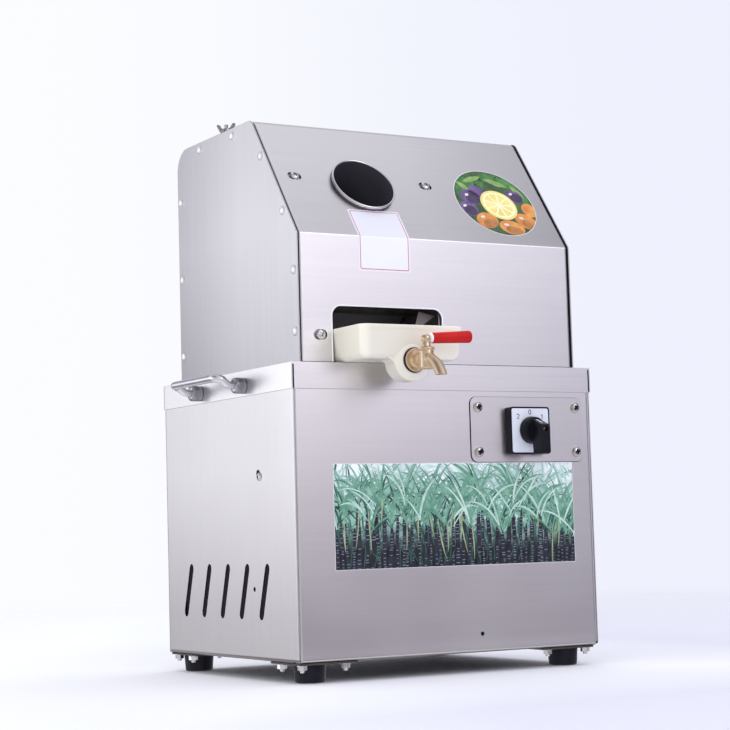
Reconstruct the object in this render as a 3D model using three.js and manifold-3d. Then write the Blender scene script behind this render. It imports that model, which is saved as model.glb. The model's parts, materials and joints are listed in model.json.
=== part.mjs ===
// Tabletop electric sugarcane juicer: sheet-metal cabinet, sloped hood, three-roller mill,
// gearmotor with chain drive, slide-out juice tray with a brass tap.
// Millimetres. X to the right, Y to the back, Z up. All numbers below are in a working frame whose
// X = 0 is the middle, Y = 0 the front of the deck skirt and Z = 0 the underside of the cabinet;
// the outer group then moves the whole machine so that it stands on Z = 0 around the origin.

import * as THREE from 'three';
import { mergeVertices } from 'three/addons/utils/BufferGeometryUtils.js';
import Module from 'manifold-3d';

const wasm = await Module();
wasm.setup();

// ---------------------------------------------------------------- driving dimensions
const Y_MID = 133.2;           // working-frame Y of the object's middle
const FOOT_H = 25;            // height of the cabinet's underside over the floor

const DECK_W = 440, DECK_D = 382;          // skirt, outside
const SKIRT_Z = 326.5, DECK_Z = 358.5;     // skirt bottom, deck top
const SHEET = 1.2, DECK_T = 1.5;

const CAB_X = 218.5, CAB_Y0 = 1.5, CAB_Y1 = 380.5, CAB_TOP = 345;
const CAB_R = 11, EDGE_R = 5;

const HOOD_X = 202.5, WRAP_X = 200.5;      // half widths: side panels outside, bent sheet
const HOOD_Y0 = 11.5, HOOD_Y1 = 351.5, HOOD_Z0 = 358.8;
const KNEE_Z = 517.5, RIDGE_Y = 127, ROOF_Z = 677.5, ROOF_R = 30;

const PORT = { x: -79, s: 88, rIn: 40.8, rOut: 42.3, rLip: 44.7, proud: 9, deep: 82 };
const NOTCH = { x0: -155.5, x1: 2, z: 429, r: 8 };
const OUTLET = { x0: -162, x1: 10, z0: 432, z1: 548, r: 6 };

const PLATE_L = [-180, -164], PLATE_R = [11.4, 27.4];       // mill side plates
const ROLL_R = 35, ROLL_X0 = -160, ROLL_X1 = 7.4, SHAFT_R = 14.7;
const GEAR_M = 4, GEAR_Z = 18, GEAR_X0 = 33, GEAR_X1 = 58;
const NIP = GEAR_M * GEAR_Z;                                // 72, roller centre distance
const TOP_C = [193.5, 539];                                 // top roller axis (y, z)

const CHAIN_P = 15.875, TEETH_TOP = 24, TEETH_OUT = 12, CHAIN_X = 77;
const MOTOR_Z = 127.4;                                      // gearbox output axis

const SWITCH_C = [115, 276];                                // knob axis (x, z)
const TAP_X = -83, TAP_Z = 357.2, PLUG_Y = -85.5;
const STUD_Y = 260;

// ---------------------------------------------------------------- slope directions
const SLOPE_L = Math.hypot(RIDGE_Y - HOOD_Y0, ROOF_Z - KNEE_Z);
const TY = (RIDGE_Y - HOOD_Y0) / SLOPE_L, TZ = (ROOF_Z - KNEE_Z) / SLOPE_L;
const SLOPE_T = new THREE.Vector3(0, TY, TZ), SLOPE_N = new THREE.Vector3(0, -TZ, TY);
const onSlope = (x, s, out = 0) =>
  new THREE.Vector3(x, HOOD_Y0, KNEE_Z).addScaledVector(SLOPE_T, s).addScaledVector(SLOPE_N, out);

// roller axes: the front nip lies on the feed tube's line
const DIR = [TY, TZ];
const FRONT_C = [TOP_C[0] - NIP * DIR[0], TOP_C[1] - NIP * DIR[1]];
const REAR_C = [TOP_C[0] + NIP * DIR[0], TOP_C[1] - NIP * DIR[1]];

// ---------------------------------------------------------------- solid helpers
const V = (x, y, z) => new THREE.Vector3(x, y, z);

function toSolid(geometry) {
  const g = geometry.index ? geometry.toNonIndexed() : geometry.clone();
  for (const key of Object.keys(g.attributes)) if (key !== 'position') g.deleteAttribute(key);
  const m = mergeVertices(g, 1e-4);
  const pos = m.attributes.position.array, src = m.index.array, tri = [];
  let vol = 0;
  for (let i = 0; i < src.length; i += 3) {
    const [a, b, c] = [src[i], src[i + 1], src[i + 2]];
    if (a === b || b === c || c === a) continue;
    tri.push(a, b, c);
    const p = k => [pos[3 * k], pos[3 * k + 1], pos[3 * k + 2]];
    const [A, B, C] = [p(a), p(b), p(c)];
    vol += A[0] * (B[1] * C[2] - B[2] * C[1]) - A[1] * (B[0] * C[2] - B[2] * C[0]) + A[2] * (B[0] * C[1] - B[1] * C[0]);
  }
  if (vol < 0) for (let i = 0; i < tri.length; i += 3) [tri[i + 1], tri[i + 2]] = [tri[i + 2], tri[i + 1]];
  const mesh = new wasm.Mesh({ numProp: 3, vertProperties: Float32Array.from(pos), triVerts: Uint32Array.from(tri) });
  mesh.merge();
  return new wasm.Manifold(mesh);
}
const union = (...s) => s.reduce((a, b) => a.add(b));
const cut = (a, ...s) => s.reduce((x, y) => x.subtract(y), a);

const box = (x0, x1, y0, y1, z0, z1) =>
  toSolid(new THREE.BoxGeometry(x1 - x0, y1 - y0, z1 - z0).translate((x0 + x1) / 2, (y0 + y1) / 2, (z0 + z1) / 2));

const BASIS = {
  x: new THREE.Matrix4().makeBasis(V(0, 1, 0), V(0, 0, 1), V(1, 0, 0)),   // shape (y, z)
  y: new THREE.Matrix4().makeBasis(V(1, 0, 0), V(0, 0, 1), V(0, -1, 0)),  // shape (x, z)
  z: new THREE.Matrix4(),                                                 // shape (x, y)
};
function extrude(pts, depth, holes = []) {
  const shape = new THREE.Shape(pts.map(p => new THREE.Vector2(p[0], p[1])));
  for (const h of holes) shape.holes.push(new THREE.Path(h.map(p => new THREE.Vector2(p[0], p[1]))));
  return new THREE.ExtrudeGeometry(shape, { depth, bevelEnabled: false, steps: 1, curveSegments: 1 });
}
function prism(axis, pts, a, b, holes = []) {
  const g = extrude(pts, b - a, holes).applyMatrix4(BASIS[axis]);
  if (axis === 'x') g.translate(a, 0, 0);
  if (axis === 'y') g.translate(0, b, 0);
  if (axis === 'z') g.translate(0, 0, a);
  return toSolid(g);
}
const ring = (cx, cy, r, n, phase = 0) =>
  Array.from({ length: n }, (_, i) => {
    const t = phase + (2 * Math.PI * i) / n;
    return [cx + r * Math.cos(t), cy + r * Math.sin(t)];
  });
const rod = (axis, c, r, a, b, n = 16, phase = 0) => prism(axis, ring(c[0], c[1], r, n, phase), a, b);

// polygon with rounded corners: [x, y, radius]
function fillet(poly, n = 4) {
  const out = [];
  const N = poly.length;
  for (let i = 0; i < N; i++) {
    const [px, py] = poly[(i + N - 1) % N], [x, y, r = 0] = poly[i], [nx, ny] = poly[(i + 1) % N];
    if (!r) { out.push([x, y]); continue; }
    const a = new THREE.Vector2(px - x, py - y).normalize(), b = new THREE.Vector2(nx - x, ny - y).normalize();
    const half = Math.acos(Math.max(-1, Math.min(1, a.dot(b)))) / 2;
    const t = r / Math.tan(half), d = r / Math.sin(half);
    const mid = a.clone().add(b).normalize();
    const cx = x + mid.x * d, cy = y + mid.y * d;
    const s = Math.atan2(y + a.y * t - cy, x + a.x * t - cx);
    let e = Math.atan2(y + b.y * t - cy, x + b.x * t - cx) - s;
    while (e > Math.PI) e -= 2 * Math.PI;
    while (e < -Math.PI) e += 2 * Math.PI;
    for (let k = 0; k <= n; k++) out.push([cx + r * Math.cos(s + (e * k) / n), cy + r * Math.sin(s + (e * k) / n)]);
  }
  return out;
}
const rrect = (x0, x1, y0, y1, r, n = 4) => {
  const [a, b, c, d] = Array.isArray(r) ? r : [r, r, r, r];
  return fillet([[x0, y0, a], [x1, y0, b], [x1, y1, c], [x0, y1, d]], n);
};
// slot with round ends between two points, width w
function stadium([x0, y0], [x1, y1], w, n = 5) {
  const t = Math.atan2(y1 - y0, x1 - x0), r = w / 2, out = [];
  for (let k = 0; k <= n; k++) { const q = t - Math.PI / 2 + (Math.PI * k) / n; out.push([x1 + r * Math.cos(q), y1 + r * Math.sin(q)]); }
  for (let k = 0; k <= n; k++) { const q = t + Math.PI / 2 + (Math.PI * k) / n; out.push([x0 + r * Math.cos(q), y0 + r * Math.sin(q)]); }
  return out;
}
function lathe(profile, n, origin = V(0, 0, 0), dir = V(0, 0, 1)) {
  const g = new THREE.LatheGeometry(profile.map(p => new THREE.Vector2(p[0], p[1])), n);
  g.applyQuaternion(new THREE.Quaternion().setFromUnitVectors(V(0, 1, 0), dir.clone().normalize()));
  return toSolid(g.translate(origin.x, origin.y, origin.z));
}
function tube(curve, r, sides, steps) {
  const shape = new THREE.Shape(ring(0, 0, r, sides).map(p => new THREE.Vector2(p[0], p[1])));
  return toSolid(new THREE.ExtrudeGeometry(shape, { steps, extrudePath: curve, curveSegments: 1 }));
}
// solid whose section is given in the slope's own plane: (x, along the slope)
function slopePrism(pts, c, a, b) {
  const m = new THREE.Matrix4().makeBasis(V(1, 0, 0), SLOPE_T, SLOPE_N);
  const g = extrude(pts, b - a).translate(0, 0, a).applyMatrix4(m);
  return toSolid(g.translate(c.x, c.y, c.z));
}
// low dome head (rivet or pan screw) on a face
const dome = (r, h, at, dir, n = 8) => lathe([[0, -0.8], [r, -0.8], [r, 0.2 * h], [0.6 * r, h], [0, h]], n, at, dir);
const panHead = (r, h, at, dir, n = 10) => lathe([[0, -0.8], [r, -0.8], [r, 0.5 * h], [0.7 * r, h], [0, h]], n, at, dir);

// ---------------------------------------------------------------- materials
const mat = (color, roughness, metalness) => new THREE.MeshStandardMaterial({ color, roughness, metalness, flatShading: true });
const M = {
  steel: mat(0xc9c9cf, 0.38, 0.9), steelBright: mat(0xd8d8de, 0.25, 1), chrome: mat(0xe6e8ee, 0.08, 1),
  zinc: mat(0xdcdde2, 0.3, 1), rubber: mat(0x22262c, 0.85, 0), black: mat(0x141417, 0.45, 0),
  dial: mat(0xdfe2ee, 0.35, 0.2), cream: mat(0xf1eddd, 0.4, 0), brass: mat(0xc6a26a, 0.3, 1),
  red: mat(0xcf2527, 0.4, 0), castIron: mat(0x6d7278, 0.6, 0.7), forged: mat(0x8c8f94, 0.4, 1),
  bronze: mat(0xb08d57, 0.4, 1), paintGrey: mat(0x5a6670, 0.5, 0.2), frame: mat(0x4b4e54, 0.6, 0.6),
};

const machine = new THREE.Group();
machine.name = 'machine';
machine.position.set(0, -Y_MID, FOOT_H);
function put(name, solid, material, parent = machine) {
  const m = solid.getMesh();
  const g = new THREE.BufferGeometry();
  g.setAttribute('position', new THREE.BufferAttribute(Float32Array.from(m.vertProperties), 3));
  g.setIndex(new THREE.BufferAttribute(Uint32Array.from(m.triVerts), 1));
  g.computeVertexNormals();
  const mesh = new THREE.Mesh(g, material);
  mesh.name = name;
  parent.add(mesh);
  return mesh;
}

// ================================================================ feet and corner plates
const footAt = { front_left: [-186, 36], front_right: [186, 36], rear_left: [-186, 350], rear_right: [186, 350] };
for (const [where, [x, y]] of Object.entries(footAt)) {
  const foot = lathe([[0, 5], [6.5, 5], [6.5, 0], [17.2, 0], [18.4, 1.4], [19.8, FOOT_H - 2.8], [0, FOOT_H - 2.8]], 16, V(x, y, -FOOT_H));
  put('foot_' + where, foot, M.rubber);
}
for (const where of Object.keys(footAt)) {
  const sx = where.endsWith('left') ? -1 : 1, front = where.startsWith('front');
  const X = d => sx * (219 - d), Y = d => (front ? 1.5 + d : 380.5 - d);
  const lo = Math.min(X(0), X(84)), hi = Math.max(X(0), X(84)), y0 = Math.min(Y(0), Y(84)), y1 = Math.max(Y(0), Y(84));
  let plate = prism('z', rrect(lo, hi, y0, y1, 3, 2), -2.5, -0.3);
  for (const [dx, dy] of [[12, 14], [71, 14], [10, 62]]) {
    const c = [X(dx), Y(dy)];
    plate = union(plate, rod('z', c, 5.8, -8.4, -2.2, 6, 0.3), rod('z', c, 2.9, -11.5, -8, 6));
  }
  put('corner_plate_' + where, plate, M.zinc);
}

// ================================================================ chassis
{
  // welded angle bars: posts, top and bottom rings, two beams under the mill, two rails under the motor
  const T = 3, L = 25, x0 = -212, x1 = 212, y0 = 6, y1 = 374.5, z0 = 3, z1 = 356.7;
  const ell = (a, b, sa, sb, w = L) => [[a, b], [a + sa * w, b], [a + sa * w, b + sb * T], [a + sa * T, b + sb * T], [a + sa * T, b + sb * w], [a, b + sb * w]];
  let frame = null;
  const add = q => { frame = frame ? frame.add(q) : q; };
  for (const [a, sa] of [[x0, 1], [x1, -1]]) for (const [b, sb] of [[y0, 1], [y1, -1]]) add(prism('z', ell(a + sa * 0.9, b + sb * 0.9, sa, sb, L - 2), z0 + 1.1, z1 - 1.1));
  for (const [b, sb] of [[y0, 1], [y1, -1]]) { add(prism('x', ell(b, z0, sb, 1), x0, x1)); add(prism('x', ell(b, z1, sb, -1), x0, x1)); }
  for (const [a, sa] of [[x0, 1], [x1, -1]]) { add(prism('y', ell(a + sa * 0.4, z0 + 0.5, sa, 1, L - 1), y0 + 0.7, y1 - 0.7)); add(prism('y', ell(a + sa * 0.4, z1 - 0.5, sa, -1, L - 1), y0 + 0.7, y1 - 0.7)); }
  for (const c of [(PLATE_L[0] + PLATE_L[1]) / 2, (PLATE_R[0] + PLATE_R[1]) / 2]) add(prism('y', [[c - 14, z1 - 3], [c - 3, z1 - 3], [c - 3, z1 - 30], [c + 3, z1 - 30], [c + 3, z1 - 3], [c + 14, z1 - 3], [c + 14, z1 - 0.2], [c - 14, z1 - 0.2]], y0 + 1.6, y1 - 1.6));
  for (const c of [TOP_C[0] - 55, TOP_C[0] + 55]) add(prism('x', [[c - 14, 24], [c - 3, 24], [c - 3, z0 + 0.9], [c + 3, z0 + 0.9], [c + 3, 24], [c + 14, 24], [c + 14, 28.4], [c - 14, 28.4]], x0 + 1.7, x1 - 1.7));
  add(box(-188, 62, TOP_C[0] - 74, TOP_C[0] + 74, 27, 33));      // motor platform
  put('chassis_frame', frame, M.frame);
}

// ================================================================ cabinet panels
// tray-like sheet: outer block minus the same block moved in by the sheet's thickness
{
  const r = EDGE_R, w = 216, y0 = CAB_Y0, y1 = 15;
  const outer = prism('z', rrect(-w, w, y0, y1, [3, 3, 0, 0], 3), 0, CAB_TOP)
    .intersect(prism('x', rrect(y0, y1 + 9, 0, CAB_TOP + 9, [r, 0, 0, 0]), -w - 1, w + 1));
  const inner = prism('z', rrect(-w + SHEET, w - SHEET, y0 + SHEET, y1 + 9, [1.8, 1.8, 0, 0], 3), SHEET, CAB_TOP + 9)
    .intersect(prism('x', rrect(y0 + SHEET, y1 + 12, SHEET, CAB_TOP + 12, [r - SHEET, 0, 0, 0]), -w - 1, w + 1));
  const front = cut(outer, inner,
    prism('y', rrect(SWITCH_C[0] - 31, SWITCH_C[0] + 31, SWITCH_C[1] - 31, SWITCH_C[1] + 31, 6), -5, 12),
    rod('y', [40.8, 23], 2.8, -5, 12, 10));
  put('cabinet_front_panel', front, M.steel);
}
const VENTS = [0, 1, 2, 3, 4].map(k => [[78.2 + 54.8 * k, 112.3], [96.6 + 54.8 * k, 55]]);
for (const [name, sx] of [['cabinet_left_panel', -1], ['cabinet_right_panel', 1]]) {
  const fl = 22.5, r = EDGE_R, X = CAB_X;
  const sideBlock = (o, ext) => {
    // drawn for the left side, mirrored for the right
    const plan = fillet([[-X + o, CAB_Y0 - (o ? 9 : 0), 0], [-X + fl + ext, CAB_Y0 - (o ? 9 : 0), 0], [-X + fl + ext, CAB_Y1 - o, 0], [-X + o, CAB_Y1 - o, CAB_R - o]], 5);
    const side = fillet([[-X + o, o, r - o], [-X + fl + ext + 1, o, 0], [-X + fl + ext + 1, CAB_TOP + 9 + o, 0], [-X + o, CAB_TOP + 9 + o, 0]], 4);
    const back = fillet([[CAB_Y0 - 12, o, 0], [CAB_Y1 - o, o, r - o], [CAB_Y1 - o, CAB_TOP + 9 + o, 0], [CAB_Y0 - 12, CAB_TOP + 9 + o, 0]], 4);
    const flip = p => (sx < 0 ? p : p.map(([a, b]) => [-a, b]).reverse());
    const reach = [Math.min(-sx * 0, sx * X) - 40, Math.max(0, sx * X) + 40];
    return prism('z', flip(plan), o, CAB_TOP + (o ? 9 : 0))
      .intersect(prism('y', flip(side), CAB_Y0 - 12, CAB_Y1 + 9))
      .intersect(prism('x', back, reach[0], reach[1]));
  };
  let panel = cut(sideBlock(0, 0), sideBlock(SHEET, 20));
  const at = (a, b) => [Math.min(sx * a, sx * b), Math.max(sx * a, sx * b)];
  const [bx0, bx1] = at(X - SHEET - 0.001, X - 60);
  panel = cut(panel, box(bx0, bx1, -5, 18, -5, 20));             // room for the front panel's flanges
  const [cx0, cx1] = at(X - 4, X + 4);
  for (const [a, b] of VENTS) panel = cut(panel, prism('x', stadium(a, b, 12, 4), cx0, cx1));
  panel = cut(panel, rod('x', [113.9, 86.7], 3.3, cx0, cx1, 8));
  panel = panel.add(panHead(4.5, 1.5, V(sx * X, 93.3, 224.6), V(sx, 0, 0)));
  put(name, panel, M.steel);
}
{
  let rear = box(-206.5, 206.5, 377.5, 378.7, 4, 344);
  for (let k = 0; k < 6; k++) rear = cut(rear, prism('y', stadium([-150 + 40 * k, 70], [-150 + 40 * k, 130], 8, 3), 370, 390));
  rear = cut(rear, rod('y', [150, 60], 10.4, 370, 390, 12));
  for (const x of [-200.5, 200.5]) for (const z of [40, 300]) rear = cut(rear, rod('y', [x, z], 2, 370, 390, 6));
  put('cabinet_rear_panel', rear, M.steel);
  // gland: waist in the panel's hole, hex head outside, nut inside, open bore
  const c = V(150, 0, 60);
  const gland = cut(union(
    rod('y', [c.x, c.z], 9.9, 374, 384, 12), rod('y', [c.x, c.z], 14, 379.1, 384, 6), rod('y', [c.x, c.z], 14, 372.6, 377.1, 6),
    lathe([[0, 0], [11, 0], [11, 3], [8, 9.5], [0, 9.5]], 12, V(c.x, 383.5, c.z), V(0, 1, 0))), rod('y', [c.x, c.z], 4.2, 370, 396, 8));
  put('cable_gland', gland, M.black);
}

// ================================================================ deck with skirt, handles
{
  const w = DECK_W / 2;
  let deck = prism('z', rrect(-w, w, 0, DECK_D, [0, 0, 12, 12], 5), SKIRT_Z, DECK_Z);
  deck = cut(deck, prism('z', rrect(-w + SHEET, w - SHEET, SHEET, DECK_D - SHEET, [0, 0, 12 - SHEET, 12 - SHEET], 5), SKIRT_Z - 5, DECK_Z - DECK_T));
  for (const s of [-1, 1]) deck = cut(deck, box(Math.min(s * 221, s * 218.9), Math.max(s * 221, s * 218.9), -1, 1.0, SKIRT_Z - 1, DECK_Z - 2.2));
  deck = cut(deck, prism('z', rrect(CHAIN_X - 13, CHAIN_X + 13, TOP_C[0] - 62, TOP_C[0] + 62, 4, 2), DECK_Z - 5, DECK_Z + 5));
  put('top_deck', deck, M.steel);
}
for (const [name, s] of [['handle_left', -1], ['handle_right', 1]]) {
  const a = 128, b = 256, z = 339.5, xb = 260, zb = 349.3, R = 9;
  const P = (x, y, zz) => V(s * x, y, zz);
  const path = new THREE.CurvePath();
  path.add(new THREE.LineCurve3(P(224, a, z), P(235, a, z)));
  path.add(new THREE.QuadraticBezierCurve3(P(235, a, z), P(241, a, z), P(246, a, z + 3.6)));
  path.add(new THREE.LineCurve3(P(246, a, z + 3.6), P(xb - R, a, zb - 2.2)));
  path.add(new THREE.QuadraticBezierCurve3(P(xb - R, a, zb - 2.2), P(xb, a, zb), P(xb, a + R, zb)));
  path.add(new THREE.LineCurve3(P(xb, a + R, zb), P(xb, b - R, zb)));
  path.add(new THREE.QuadraticBezierCurve3(P(xb, b - R, zb), P(xb, b, zb), P(xb - R, b, zb - 2.2)));
  path.add(new THREE.LineCurve3(P(xb - R, b, zb - 2.2), P(246, b, z + 3.6)));
  path.add(new THREE.QuadraticBezierCurve3(P(246, b, z + 3.6), P(241, b, z), P(235, b, z)));
  path.add(new THREE.LineCurve3(P(235, b, z), P(224, b, z)));
  // points picked so that the straight runs take few steps and the bends take more
  const pts = [];
  for (const c of path.curves) { const n = c.isLineCurve3 ? 1 : 3; for (let k = 0; k < n; k++) pts.push(c.getPoint(k / n)); }
  pts.push(P(224, b, z));
  class Stepped extends THREE.Curve {
    getPoint(t, target = new THREE.Vector3()) { const q = t * (pts.length - 1), i = Math.min(pts.length - 2, Math.floor(q)); return target.copy(pts[i]).lerp(pts[i + 1], q - i); }
    getPointAt(t, target) { return this.getPoint(t, target); }
    getSpacedPoints(n) { return pts.map(p => p.clone()); }
    getTangentAt(t, target = new THREE.Vector3()) {
      const i = Math.round(t * (pts.length - 1)), p = pts[Math.max(0, i - 1)], q = pts[Math.min(pts.length - 1, i + 1)];
      return target.copy(q).sub(p).normalize();
    }
  }
  let h = tube(new Stepped(), 4, 7, pts.length - 1);
  for (const y of [a, b]) h = h.add(lathe([[0, 0], [10, 0], [10, 11], [9.2, 14.2], [0, 14.2]], 14, V(s * (DECK_W / 2 + 0.3), y, z), V(s, 0, 0)));
  put(name, h, M.chrome);
}

// ================================================================ switch
{
  const [cx, cz] = SWITCH_C, px = 118.7, pz = 277.8;
  let plate = prism('y', rrect(px - 86, px + 86, pz - 41, pz + 41, 9, 4), 0, SHEET - 0.1, [ring(cx, cz, 24, 16)]);
  for (const [dx, dz] of [[-75.2, 28.4], [75.2, 28.4], [-75.2, -28.4], [75.2, -28.4]]) plate = plate.add(panHead(4.4, 1.5, V(px + dx, 0, pz + dz), V(0, -1, 0), 10));
  put('switch_mounting_plate', plate, M.steel);
  const bezel = cut(prism('y', rrect(cx - 30, cx + 30, cz - 30, cz + 30, 4, 3), -12, -0.3),
    prism('y', rrect(cx - 28.3, cx + 28.3, cz - 28.3, cz + 28.3, 3, 3), -14, -10.6), rod('y', [cx, cz], 8, -20, 5, 14));
  put('switch_bezel', bezel, M.black);
  put('switch_dial_plate', cut(prism('y', rrect(cx - 28, cx + 28, cz - 28, cz + 28, 2.8, 3), -11.9, -10.9), rod('y', [cx, cz], 8, -20, 5, 14)), M.dial);
  // contact block behind the panel, with a socket for the knob's shaft
  let body = union(prism('y', rrect(cx - 22, cx + 22, cz - 22, cz + 22, 4, 2), 1.6, 58), rod('y', [cx, cz], 16, 0.1, 3, 16));
  for (const z of [-14, 0, 14]) body = body.add(box(cx - 26, cx + 26, 12, 50, cz + z - 3.5, cz + z + 3.5));
  body = cut(body, rod('y', [cx, cz], 5, -3, 12, 12));
  put('switch_contact_block', body, M.black);
  // knob: shaft, round base, raised grip whose short end is cut back towards the dial
  const side = fillet([[-15, 17, 1], [-44, 6, 2], [-46, 3.5, 1], [-46, -29, 2], [-44, -31, 1.5], [-25.5, -31, 1], [-24.5, -16, 0], [-15, -16, 0]], 2).map(([y, z]) => [y, cz + z]);
  const grip = prism('x', side, cx - 6.5, cx + 6.5);
  const base = lathe([[0, 0], [17.2, 0], [17.6, 2], [16.4, 11], [14.5, 12.5], [0, 12.5]], 18, V(cx, -12.3, cz), V(0, -1, 0));
  const knob = cut(union(base, grip, rod('y', [cx, cz], 4.2, -13, 10, 12)), rod('y', [cx, cz], 3.4, -50, -41, 10));
  put('switch_knob', knob, M.black);
}

// ================================================================ hood
const hoodPoly = (o, zb) => {
  const k = KNEE_Z - ((1 - TZ) / TY) * o;
  const ry = HOOD_Y0 + (TY * (ROOF_Z - KNEE_Z - o) + o) / TZ;
  return fillet([[HOOD_Y0 + o, zb, 0], [HOOD_Y0 + o, k, Math.max(0.6, 4 - o)], [ry, ROOF_Z - o, Math.max(0.8, 9 - o)],
    [HOOD_Y1 - o, ROOF_Z - o, ROOF_R - o], [HOOD_Y1 - o, zb, 0]], 4);
};
const SLOPE_SCREWS = [[-171.8, 99.6], [19.4, 98.9]], LOW_SCREWS = [[-172.5, 393.2], [19.4, 393.2]];
{
  let wrap = cut(prism('x', hoodPoly(0, HOOD_Z0), -WRAP_X, WRAP_X), prism('x', hoodPoly(SHEET, HOOD_Z0 - 9), -WRAP_X + SHEET, WRAP_X - SHEET),
    prism('x', hoodPoly(15, HOOD_Z0 - 9), -WRAP_X - 3, WRAP_X + 3));
  wrap = cut(wrap,
    prism('y', rrect(NOTCH.x0, NOTCH.x1, HOOD_Z0 - 9, NOTCH.z, [0, 0, NOTCH.r, NOTCH.r], 4), 5, 20),
    prism('y', rrect(OUTLET.x0, OUTLET.x1, OUTLET.z0, OUTLET.z1, OUTLET.r, 3), 345, 360),
    slopePrism(ring(0, 0, PORT.rOut + 0.75, 24), onSlope(PORT.x, PORT.s), -10, 6),
    rod('z', [(PLATE_L[0] + PLATE_L[1]) / 2, STUD_Y], 4.4, 670, 690, 10), rod('z', [(PLATE_R[0] + PLATE_R[1]) / 2, STUD_Y], 4.4, 670, 690, 10));
  for (const [x, s] of SLOPE_SCREWS) wrap = wrap.subtract(slopePrism(stadium([-3, 0], [3, 0], 12.8, 4), onSlope(x, s), -6, 6));
  for (const [x, z] of LOW_SCREWS) wrap = wrap.subtract(prism('y', stadium([x - 3, z], [x + 3, z], 12.8, 4), 5, 20));
  put('hood_wrap', wrap, M.steel);
}
const sp = (s, inset) => [HOOD_Y0 + TY * s + TZ * inset, KNEE_Z + TZ * s - TY * inset];
const RIVETS = [[182, 668.5], [280.5, 668.5], [342.5, 607], [342.5, 501], [342.5, 396.5], sp(141.8, 9), sp(45.7, 9.5), [20.5, 472.5], [20.5, 397.5]];
for (const [name, s] of [['hood_left_side', -1], ['hood_right_side', 1]]) {
  let side = prism('x', hoodPoly(-0.7, HOOD_Z0), Math.min(s * 201.2, s * HOOD_X), Math.max(s * 201.2, s * HOOD_X));
  for (const [y, z] of RIVETS) side = side.add(dome(4.6, 1.4, V(s * HOOD_X, y, z), V(s, 0, 0), 7));
  put(name, side, M.steel);
}
// feed tube, square to the slope, with its mouth rolled outwards
put('feed_tube', lathe([[PORT.rIn, -PORT.deep], [PORT.rIn, PORT.proud - 0.7], [PORT.rIn + 0.9, PORT.proud], [PORT.rLip - 0.6, PORT.proud], [PORT.rLip, PORT.proud - 1.6],
  [PORT.rOut, PORT.proud - 2.6], [PORT.rOut, -PORT.deep], [PORT.rIn, -PORT.deep]], 24, onSlope(PORT.x, PORT.s), SLOPE_N), M.steelBright);

// chute for the crushed cane, through the rear window
{
  const a = [287, 476], b = [384.5, 440], t = 1.5, d = V(0, b[0] - a[0], b[1] - a[1]).normalize(), n = [-d.z, d.y];
  const floor = [a, b, [b[0] - n[0] * t * -1, b[1] + n[1] * t], [a[0] + n[0] * t, a[1] + n[1] * t]];
  const hi = 26, cheek = [a, b, [b[0] + n[0] * 14, b[1] + n[1] * 14], [b[0] - d.y * 24 + n[0] * hi, b[1] - d.z * 24 + n[1] * hi], [a[0] + n[0] * hi, a[1] + n[1] * hi]];
  const x0 = -158, x1 = 6;
  put('bagasse_chute', union(prism('x', floor, x0, x1), prism('x', cheek, x0, x0 + t), prism('x', cheek, x1 - t, x1)), M.steel);
}

// ================================================================ mill frame
const BUSH_HOLE = 22, BUSH_OUT = 21.4, BUSH_IN = 15.6;
const AXES = { top: TOP_C, front: FRONT_C, rear: REAR_C };
const TIES = { tie_bar_front: [84, 438], tie_bar_rear: [272, 588] };
for (const [name, [x0, x1], s] of [['mill_left_plate', PLATE_L, -1], ['mill_right_plate', PLATE_R, 1]]) {
  const g = 2.2, xm = (x0 + x1) / 2;
  const p3 = sp(124, g);
  let plate = prism('x', fillet([[HOOD_Y0 + g, 358.9, 0], [48, 358.9, 0], [66, 412, 10], [250, 412, 10], [268, 358.9, 0], [300, 358.9, 0], [300, p3[1], 12], [p3[0], p3[1], 6], [HOOD_Y0 + g, KNEE_Z - 0.4, 3]], 3), x0, x1,
    [...Object.values(AXES).map(c => ring(c[0], c[1], BUSH_HOLE, 14, 0.1)), ...Object.values(TIES).map(c => ring(c[0], c[1], 5.4, 8))]);
  // feet that bolt through the deck, on the side away from the tray
  const [f0, f1] = s < 0 ? [x0 - 16, x0 + 1] : [x1 - 1, x1 + 16];
  for (const [y0, y1] of [[18, 46], [270, 298]]) plate = plate.add(box(f0, f1, y0, y1, 358.9, 368));
  // stud for the hood, its lock nut on the roof, and the pan heads that show through the hood's slots
  plate = union(plate, rod('z', [xm, STUD_Y], 2.9, p3[1] - 5, 701, 8), rod('z', [xm, STUD_Y], 7.5, ROOF_Z + 0.4, ROOF_Z + 2, 10), rod('z', [xm, STUD_Y], 5.6, ROOF_Z + 1.5, ROOF_Z + 8.2, 6));
  const [sx, ss] = SLOPE_SCREWS[s < 0 ? 0 : 1], [lx, lz] = LOW_SCREWS[s < 0 ? 0 : 1];
  plate = union(plate, lathe([[0, -6], [5.5, -6], [5.5, 0.9], [4, 1.7], [0, 1.7]], 12, onSlope(sx, ss), SLOPE_N),
    lathe([[0, -6], [5.5, -6], [5.5, 0.9], [4, 1.7], [0, 1.7]], 12, V(lx, HOOD_Y0, lz), V(0, -1, 0)));
  put(name, plate, M.forged);
}
for (const [where, [y, z]] of Object.entries(AXES)) {
  for (const [side, [x0, x1]] of [['left', PLATE_L], ['right', PLATE_R]])
    put(`bush_${where}_${side}`, prism('x', ring(y, z, BUSH_OUT, 14, 0.1), x0 + 0.3, x1 - 0.3, [ring(y, z, BUSH_IN, 14, 0.1)]), M.bronze);
}
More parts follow.
